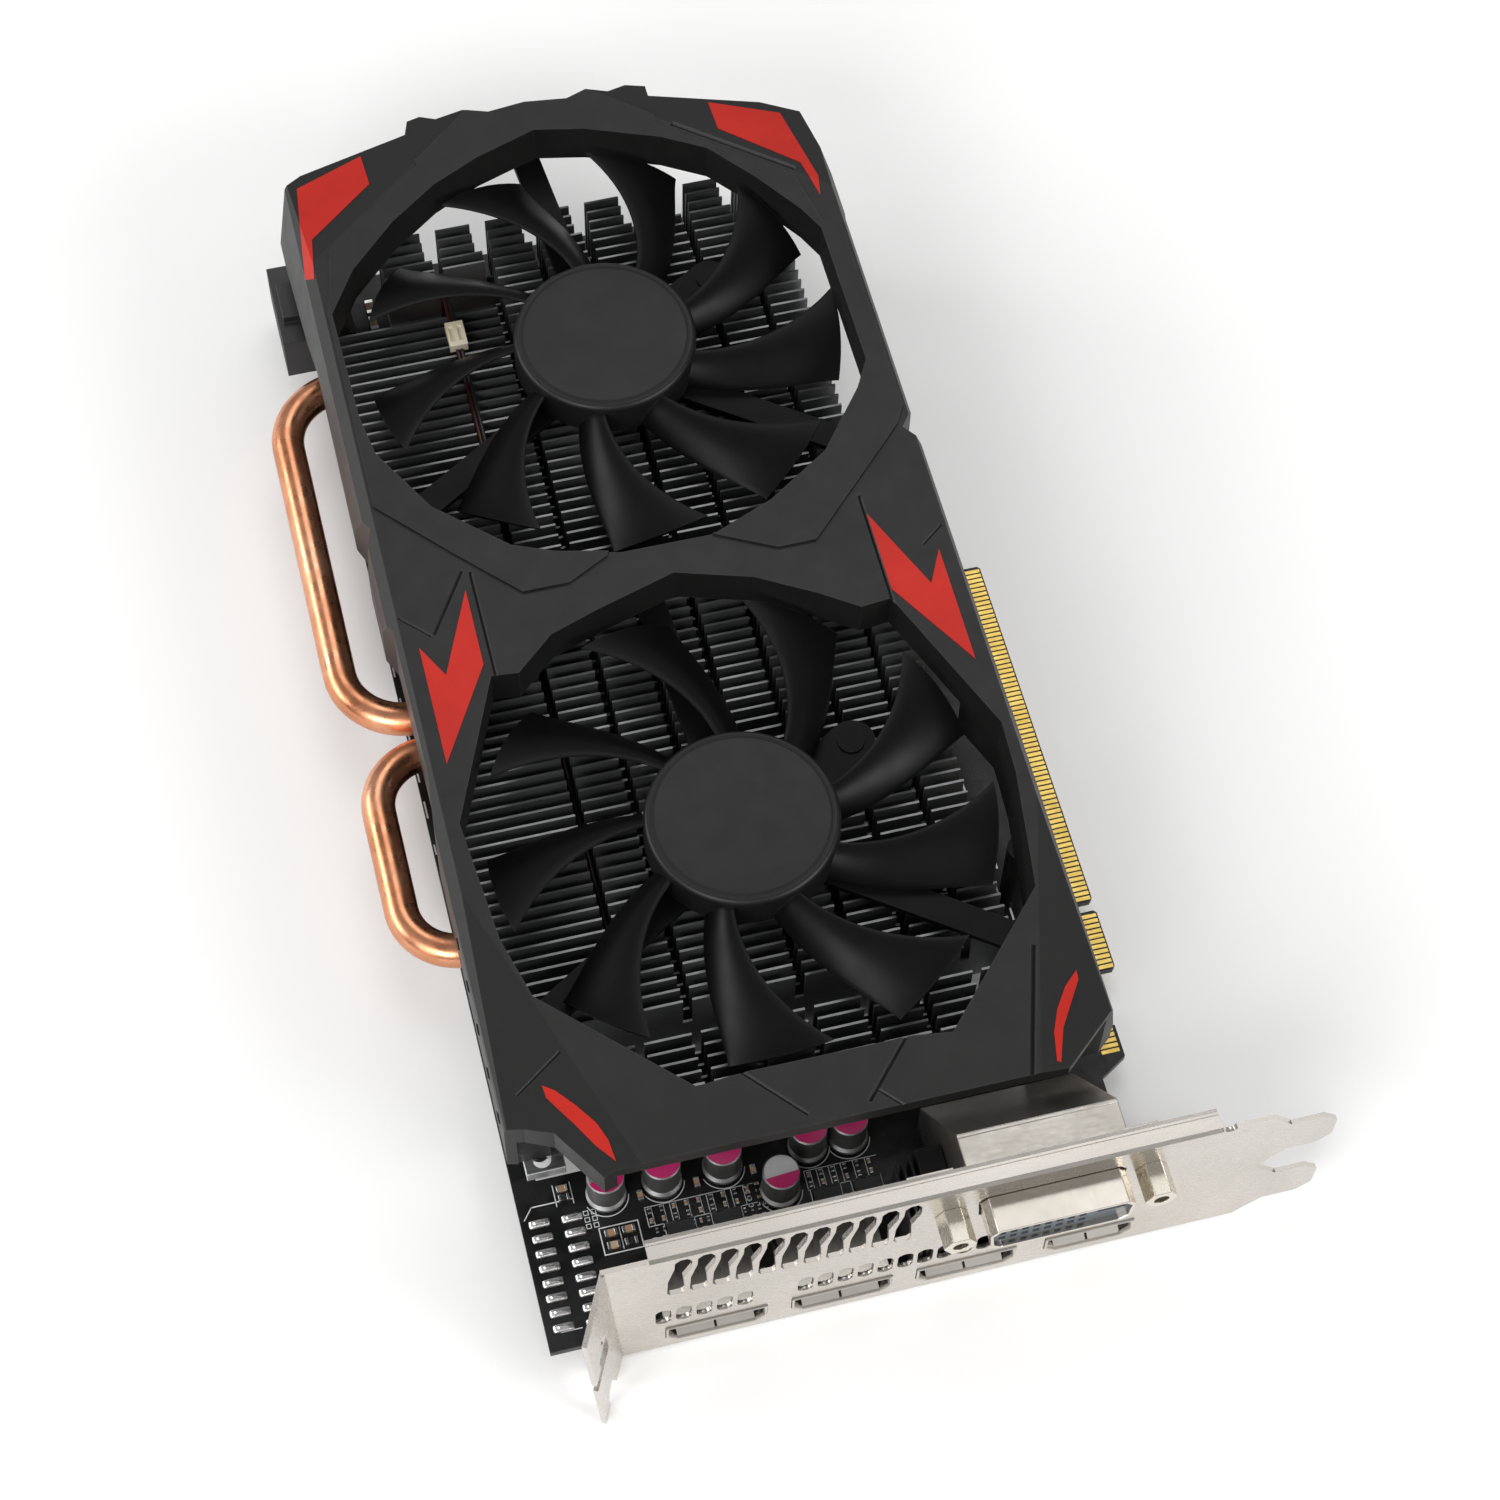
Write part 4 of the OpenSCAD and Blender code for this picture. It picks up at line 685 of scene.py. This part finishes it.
def frame_line(bm, x0, y0, x1, y1, width=0.16):
    """A printed rectangle."""
    line(bm, x0, y0, x1, y0, width)
    line(bm, x1, y0 + width, x1, y1 - width, width)
    line(bm, x1, y1, x0, y1, width)
    line(bm, x0, y1 - width, x0, y0 + width, width)


def ring_line(bm, x, y, r, width, start=0, end=360):
    """A printed arc from start to end, in degrees."""
    steps = max(6, int((end - start) / 12))
    for k in range(steps):
        a, b = (math.radians(start + (end - start) * (k + i) / steps) for i in (0, 1))
        corners = ((r, a), (r, b), (r + width, b), (r + width, a))
        points = [(x + q * math.cos(c), y + q * math.sin(c)) for q, c in corners]
        slab(bm, points, BOARD_TOP, BOARD_TOP + PRINT_DEPTH)


# Middles of the capacitors, their top and radius, and how far their marks are turned, in degrees
CANS = [(5, 26.2), (14.6, 26.4), (25, 26.4), (39.8, 26.6), (46.8, 26.6), (33.4, 20)]
CAN_TOP = 13.5
CAN_R = 3.15
CAN_TURN = 4

# Left sides of the small chips
CHIP_X = (13.5, 21.5, 38.6, 45.6)


def chord(x, y, r, cut, turn, upper):
    """The part of a disc above or below a chord at height cut, turned about its centre."""
    half = math.degrees(math.acos(cut / r))
    start, end = (90 - half, 90 + half) if upper else (90 + half, 450 - half)
    return [
        (x + r * math.cos(math.radians(a)), y + r * math.sin(math.radians(a)))
        for a in (turn + start + (end - start) * k / 32 for k in range(33))
    ]


def can_tops():
    """Bare lid and coloured mark on each capacitor."""
    bm = bmesh.new()
    for x, y in CANS:
        slab(bm, chord(x, y, CAN_R - 0.3, -0.55, CAN_TURN, True), CAN_TOP, CAN_TOP + 0.05, 0)
        slab(bm, chord(x, y, CAN_R - 0.15, -0.6, CAN_TURN, False), CAN_TOP, CAN_TOP + 0.06, 1)
    obj = piece("can_top_print", bm, [CAN_LID, MAGENTA_PRINT])
    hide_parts("capacitor_marks")


def ceramics():
    """Chip capacitors and resistors: a body between two tinned ends."""
    pick = random.Random(7)
    inset = 0.03
    small, large = (0.6, 1.0, 0.35), (1.6, 3.2, 1.5)
    spots = [((x, y), (2.2, 1.2, 0.8)) for x in (3.2, 6.2) for y in (16.6, 18.8)]
    columns = [11 + i * 2.1 for i in range(9)] + [38.4 + i * 2.1 for i in range(6)]
    spots += [((x, y), small) for x in columns for y in (19.4, 21.2)]
    spots += [((x, 23.8), (1.0, 1.8, 0.8)) for x in (10, 19.7, 29.4)]
    spots += [((-2.9, y), (1.9, 1.2, 0.9)) for y in (26.7, 28.3)]
    spots += [((1, y), large) for y in (206, 210, 214)]
    spots += [((x, y), large) for x in (5.2, 7.5) for y in (200, 206)]
    # Smaller parts that only this piece holds
    spots += [((x, 17.6), (0.5, 0.9, 0.3)) for x in [11.6 + i * 1.25 for i in range(18)]]
    spots += [((x, 12.6), (0.5, 0.9, 0.3)) for x in [12.4 + i * 1.6 for i in range(12)]]
    spots += [((x, y), (0.9, 0.5, 0.3)) for x in (27.6, 29.4) for y in (18.4, 19.6, 20.8, 22.0)]
    bm = bmesh.new()
    for (x, y), (w, l, h) in spots:
        kind = pick.choice([0, 0, 1, 2]) if h > 0.5 else pick.choice([0, 2, 2])
        end = 0.26 * max(w, l)
        under = end * 0.8
        z = BOARD_TOP
        if w >= l:
            block(bm, (x + under, y + inset, z), (x + w - under, y + l - inset, z + h - inset), kind)
            ends = [((x, y), (x + end, y + l)), ((x + w - end, y), (x + w, y + l))]
        else:
            block(bm, (x + inset, y + under, z), (x + w - inset, y + l - under, z + h - inset), kind)
            ends = [((x, y), (x + w, y + end)), ((x, y + l - end), (x + w, y + l))]
        for (x0, y0), (x1, y1) in ends:
            block(bm, (x0, y0, z), (x1, y1, z + h), 3, inset)
    obj = piece("chip_parts", bm, [CERAMIC, PALE_CERAMIC, RESISTOR, TIN], smooth_angle=20)
    rounded(obj, 0.05)
    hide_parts("ceramic_parts")


# Middle of the first solder joint, steps to the next column and row, and half the size of a joint
JOINT_START = (-6.9, 5.35)
JOINT_STEP = (5.5, 2.655)
JOINT_SHIFT = 0.25
JOINT_HALF = (1.8, 0.76)

# Share of a joint's outline, and height, of each ring from the board up to the pin's tip
JOINT_RINGS = [(1.0, 0.0), (0.97, 0.14), (0.88, 0.3), (0.7, 0.42), (0.5, 0.47), (0.44, 0.62), (0.38, 0.66)]


def solder_joints():
    """Domes of solder over the tails of the sockets' pins, and a row of bare gold pads."""
    pick = random.Random(3)
    bm = bmesh.new()
    steps = 28
    for col in (0, 1):
        for i in range(8):
            cx = JOINT_START[0] + col * JOINT_STEP[0]
            cy = JOINT_START[1] + i * JOINT_STEP[1] - col * JOINT_SHIFT
            tilt = pick.uniform(-0.12, 0.12)
            rings = []
            for k, h in JOINT_RINGS:
                ring = []
                for s in range(steps):
                    a = 2 * math.pi * s / steps
                    c, d = math.cos(a), math.sin(a)
                    px = math.copysign(abs(c) ** 0.3, c) * JOINT_HALF[0] * k
                    py = math.copysign(abs(d) ** 0.4, d) * JOINT_HALF[1] * k ** 1.5
                    height = BOARD_TOP + h + 0.02 * px * tilt
                    ring.append(bm.verts.new(at(cx + px, cy + py + tilt * h, height)))
                rings.append(ring)
            for a, b in zip(rings, rings[1:]):
                bridge(bm, a, b)
            bm.faces.new(rings[-1])
            bm.faces.new(rings[0][::-1])
    for y in range(31, 36):
        block(bm, (93.2, y, BOARD_TOP), (96.4, y + 0.7, BOARD_TOP + 0.08), 1)
    obj = piece("solder_joints", bm, [TIN, GOLD], smooth_angle=50)
    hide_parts("solder_pads")


def board_print():
    """White printed outlines and part marks, with no lettering."""
    pick = random.Random(11)
    bm = bmesh.new()
    line(bm, -9.2, 25.0, -7.6, 27.0)
    line(bm, -7.6, 27.0, -0.6, 27.0, 0.2)
    line(bm, -7.6, 4.6, -4.0, 4.6)
    line(bm, -7.6, 4.6, -7.6, 5.3)
    line(bm, -3.2, 4.6, 0.8, 4.6)
    line(bm, -0.2, 4.6, -0.2, 5.3)
    frame_line(bm, 2.5, 15.9, 9.1, 20.7, 0.2)
    line(bm, 5.8, 16.4, 5.8, 20.2)
    for x in (1.0, 2.3):
        for y in (21.5, 22.7, 23.9):
            frame_line(bm, x - 0.38, y - 0.38, x + 0.38, y + 0.38, 0.12)
    for x in (-3.4, -0.5):
        line(bm, x, 26.2, x, 30.0)
    for x, y in CANS:
        ring_line(bm, x, y, CAN_R + 0.55, 0.16, 200, 350)
    for x0, x1 in ((10.7, 29.2), (38.1, 50.6)):
        line(bm, x0, 19.0, x1, 19.0, 0.12)
        line(bm, x0, 22.5, x1, 22.5, 0.12)
        x = x0
        while x < x1 - 0.4:
            line(bm, x, 19.2, x, 20.8, 0.12)
            line(bm, x, 21.0, x, 22.3, 0.12)
            x += pick.choice([1.05, 1.05, 2.1])
    for k in range(24):
        x = 10.9 + k * 1.7
        if not 30.0 < x < 37.0:
            length = pick.uniform(0.5, 1.3)
            line(bm, x, 16.9, x + length, 16.9, 0.14)
            if k % 2:
                line(bm, x, 14.9, x, 14.9 + length, 0.14)
    for x in CHIP_X:
        frame_line(bm, x - 0.3, 15.2, x + 4.9, 19.0, 0.14)
        ring_line(bm, x - 0.9, 15.4, 0.14, 0.14)
    for k in range(14):
        line(bm, -9.6, 96 + k * 7.5, -9.6, 96 + k * 7.5 + pick.uniform(1.2, 3.2), 0.3)
    for k in range(9):
        line(bm, 84.6 + (k % 2) * 1.2, 44 + k * 5.2, 84.6 + (k % 2) * 1.2, 46 + k * 5.2, 0.35)
    obj = piece("board_print", bm, WHITE_PRINT, smooth_angle=10)


def chip_legs():
    """Tinned legs along both sides of the small chips."""
    pitch, leg = 0.92, (0.38, 0.5, 0.3)
    bm = bmesh.new()
    for x in CHIP_X:
        for k in range(5):
            for y in (15.25, 18.35):
                left = x + 0.35 + k * pitch
                high = (left + leg[0], y + leg[1], BOARD_TOP + leg[2])
                block(bm, (left, y, BOARD_TOP), high, 0, 0.04)
    obj = piece("chip_legs", bm, TIN, smooth_angle=10)
    rounded(obj, 0.05)


def smoothed(points):
    """A polyline with its corners cut again and again."""
    for _ in range(3):
        out = [points[0]]
        for p, q in zip(points, points[1:]):
            reach = min(0.25, 1.2 / max((q - p).length, 1e-6))
            out += [p.lerp(q, reach), p.lerp(q, 1 - reach)]
        points = out + [points[-1]]
    return points


def tube(bm, points, radius, slot):
    """A round wire along a path in mm."""
    steps = 10
    up = Vector((0.3, 0.2, 1)).normalized()
    rings = []
    for i, p in enumerate(points):
        along = (points[min(i + 1, len(points) - 1)] - points[max(i - 1, 0)]).normalized()
        side = along.cross(up).normalized()
        up = side.cross(along).normalized()
        rings.append([
            bm.verts.new(at(*(p + (side * math.cos(a) + up * math.sin(a)) * radius)))
            for a in (2 * math.pi * k / steps for k in range(steps))
        ])
    for a, b in zip(rings, rings[1:]):
        bridge(bm, a, b, slot)
    bm.faces.new(rings[0][::-1]).material_index = slot
    bm.faces.new(rings[-1]).material_index = slot


# Route of the fan leads: out of the motor (from the fan's middle), down onto a strut, along the strut to its
# end, then along a groove of the fins, where one lead is parted by its plug, and down to the header
GROOVE_X = 14.6
HEADER_TOP = 9.0
WIRE_R = 0.38
LEAD_EXIT = (-7.63, -4.77, 29.1)
LEAD_DROP = 1.72
STRUT_END = -15.87
ON_STRUT, IN_FINS = 27.38, 19.38
PLUG_ENDS = (185.8, 191.4)


def lead(side):
    """Two wires side by side from the fan's motor, along a strut and a groove of the fins, to the header."""
    y, _ = FANS[side]
    start = Vector((FAN_X, y, 0)) + Vector(LEAD_EXIT)
    exit_run = [start, start - Vector((0, 0, LEAD_DROP)), Vector((GROOVE_X, y + STRUT_END, ON_STRUT))]
    if side == "near":
        header_y = 199.8
        groove_run = [(y + STRUT_END, IN_FINS), (header_y, IN_FINS), (header_y, HEADER_TOP)]
        parts = [exit_run + [Vector((GROOVE_X, *p)) for p in groove_run]]
    else:
        header_y = 201.8
        before, after = PLUG_ENDS
        last_run = [(after, ON_STRUT), (header_y, ON_STRUT), (header_y, HEADER_TOP)]
        parts = [
            exit_run + [Vector((GROOVE_X, before, ON_STRUT))],
            [Vector((GROOVE_X, *p)) for p in last_run],
        ]
    bm = bmesh.new()
    for points in parts:
        for slot, shift in enumerate((-WIRE_R, WIRE_R)):
            path = smoothed([p + Vector((shift, 0, 0)) for p in points])
            tube(bm, path, WIRE_R - 0.01, slot)
    obj = piece(f"fan_{side}_wires", bm, [RED_WIRE, BLACK_WIRE], smooth_angle=60)
    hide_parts(f"fan_{side}_lead")


# Middle and width of each low socket, from the tab end of the bracket
PORTS = [(17.5, 16.9), (38.7, 16.9), (59.9, 16.9), (81.1, 15.2)]
PORT_Z = 5.4
PORT_HALF_HEIGHT = 2.8
PORT_CUT = 1.5
LEAF_LOW = PORT_Z - 2.42

# Depth and height of the points round a leaf's section
LEAF_SECTION = [
    (0.12, LEAF_LOW), (1.95, LEAF_LOW + 1.02), (3.0, LEAF_LOW + 0.9),
    (3.0, LEAF_LOW + 0.76), (1.97, LEAF_LOW + 0.88), (0.2, LEAF_LOW - 0.1),
]

# How far outside the socket's opening, and how deep, each loop of the rolled rim lies
RIM_LOOPS = [(0.04, 0.24), (0.04, -0.22), (-0.1, -0.34), (-0.32, -0.3), (-0.4, -0.05), (-0.4, 0.3)]


def port_metal():
    """Sprung leaves on the floor of each low socket, and its rolled front rim."""
    bm = bmesh.new()
    for x, w in PORTS:
        for s in (-1, 1):
            x0, x1 = sorted((x + s * 0.22, x + s * (w / 2 - 1.9)))
            a = [bm.verts.new(at(x0, y, z)) for y, z in LEAF_SECTION]
            b = [bm.verts.new(at(x1, y, z)) for y, z in LEAF_SECTION]
            skin(bm, a[::-1], b[::-1], 0)
        cut = PORT_CUT
        loops = []
        for g, y in RIM_LOOPS:
            hw, hh = w / 2 + g, PORT_HALF_HEIGHT + g
            outline = [
                (-hw + cut, -hh), (hw - cut, -hh), (hw, -hh + cut),
                (hw, hh), (-hw, hh), (-hw, -hh + cut),
            ]
            loops.append([bm.verts.new(at(x + px, y, PORT_Z + pz)) for px, pz in outline])
        for a, b in zip(loops, loops[1:]):
            bridge(bm, a, b)
    obj = piece("port_rims", bm, RIM_NICKEL)


def hood_flanges():
    """Thin tabs of the hood behind the bracket's lip, and a fold along its front edge."""
    bm = bmesh.new()
    block(bm, (49.0, 4.02, 37.6), (56.6, 4.5, 38.2))
    block(bm, (85.0, 4.02, 37.6), (90.4, 4.5, 38.2))
    block(bm, (58.98, 3.6, 36.4), (85.62, 4.6, 36.62), 0, 0.1)
    block(bm, (58.98, 9.6, 36.38), (85.62, 10.3, 36.56), 0, 0.08)
    obj = piece("hood_folds", bm, HOOD_TIN)
    rounded(obj, 0.08)


def socket_body():
    """Black moulding of the DVI socket beside its hood, with upright ribs."""
    bm = bmesh.new()
    block(bm, (54.2, 1.25, BOARD_TOP), (58.86, 15.5, 21.5), 0, 0.15)
    for k in range(3):
        x = 50.6 + k * 1.25
        rib_top = (x + 0.7, 14.6 + k * 0.3, 19.0 + k * 0.8)
        block(bm, (x, 1.25, BOARD_TOP), rib_top, 0, 0.1)
    block(bm, (50.6, 1.25, BOARD_TOP), (54.2, 13.6, 9.5))
    obj = piece("dvi_socket_body", bm, SOCKET_PLASTIC)
    rounded(obj, 0.12)


can_tops()
socket_body()
ceramics()
solder_joints()
board_print()
chip_legs()
for side in FANS:
    lead(side)
port_metal()
hood_flanges()


# ---------------------------------------------------------------- camera, light, floor

EYE = at(-32.41, -181.56, 526.12)
AIM = at(46.94, 95.11, 20.0)
ROLL = -2.07
LENS = 80.1

# Place, point looked at, size and power of each lamp, in metres and watts
LAMPS = {
    "sheen": ((0.16, 0.6, 1.05), (0, 0.02, 0), (0.75, 0.6), 2.6),
    "front_left": ((-0.75, -0.85, 0.75), (0, 0, 0), (0.8, 0.6), 10.5),
    "front_right": ((0.85, -0.75, 0.65), (0, 0, 0), (0.8, 0.5), 9.5),
    "left": ((-1.0, 0.35, 0.45), (0, 0, 0), (0.8, 0.4), 6.0),
}


def add_camera():
    data = bpy.data.cameras.new("camera")
    data.lens = LENS
    data.sensor_width = 36.0
    data.clip_start = 0.01
    cam = bpy.data.objects.new("camera", data)
    bpy.context.scene.collection.objects.link(cam)
    look = (AIM - EYE).to_track_quat("-Z", "Y").to_matrix().to_4x4()
    cam.matrix_world = Matrix.Translation(EYE) @ look @ Matrix.Rotation(math.radians(-ROLL), 4, "Z")
    bpy.context.scene.camera = cam


def add_lamp(name, place, target, size, power):
    data = bpy.data.lights.new(name, "AREA")
    data.shape = "RECTANGLE"
    data.size, data.size_y = size
    data.energy = power
    lamp = bpy.data.objects.new(name, data)
    bpy.context.scene.collection.objects.link(lamp)
    lamp.location = place
    lamp.rotation_euler = (Vector(target) - Vector(place)).to_track_quat("-Z", "Y").to_euler()


def add_stage():
    """Pale paper floor just under the part, and an even white surround."""
    bm = bmesh.new()
    bmesh.ops.create_grid(bm, x_segments=8, y_segments=8, size=3.0)
    mesh = bpy.data.meshes.new("floor")
    bm.to_mesh(mesh)
    bm.free()
    floor = bpy.data.objects.new("floor", mesh)
    floor.location = (0, 0, -0.0004)
    bpy.context.scene.collection.objects.link(floor)
    s = Shader("floor_paper", 0.9)
    tones = [(0.3, (0.94, 0.94, 0.935)), (0.7, (0.95, 0.95, 0.945))]
    s.colour(s.ramp(s.noise(300.0), tones))
    mesh.materials.append(s.mat)
    world = bpy.data.worlds.new("studio")
    world.use_nodes = True
    back = world.node_tree.nodes["Background"]
    back.inputs["Color"].default_value = (1, 1, 1, 1)
    back.inputs["Strength"].default_value = 0.36
    bpy.context.scene.world = world
    bpy.context.scene.view_settings.view_transform = "Standard"


add_camera()
add_stage()
for name, lamp in LAMPS.items():
    add_lamp(name, *lamp)
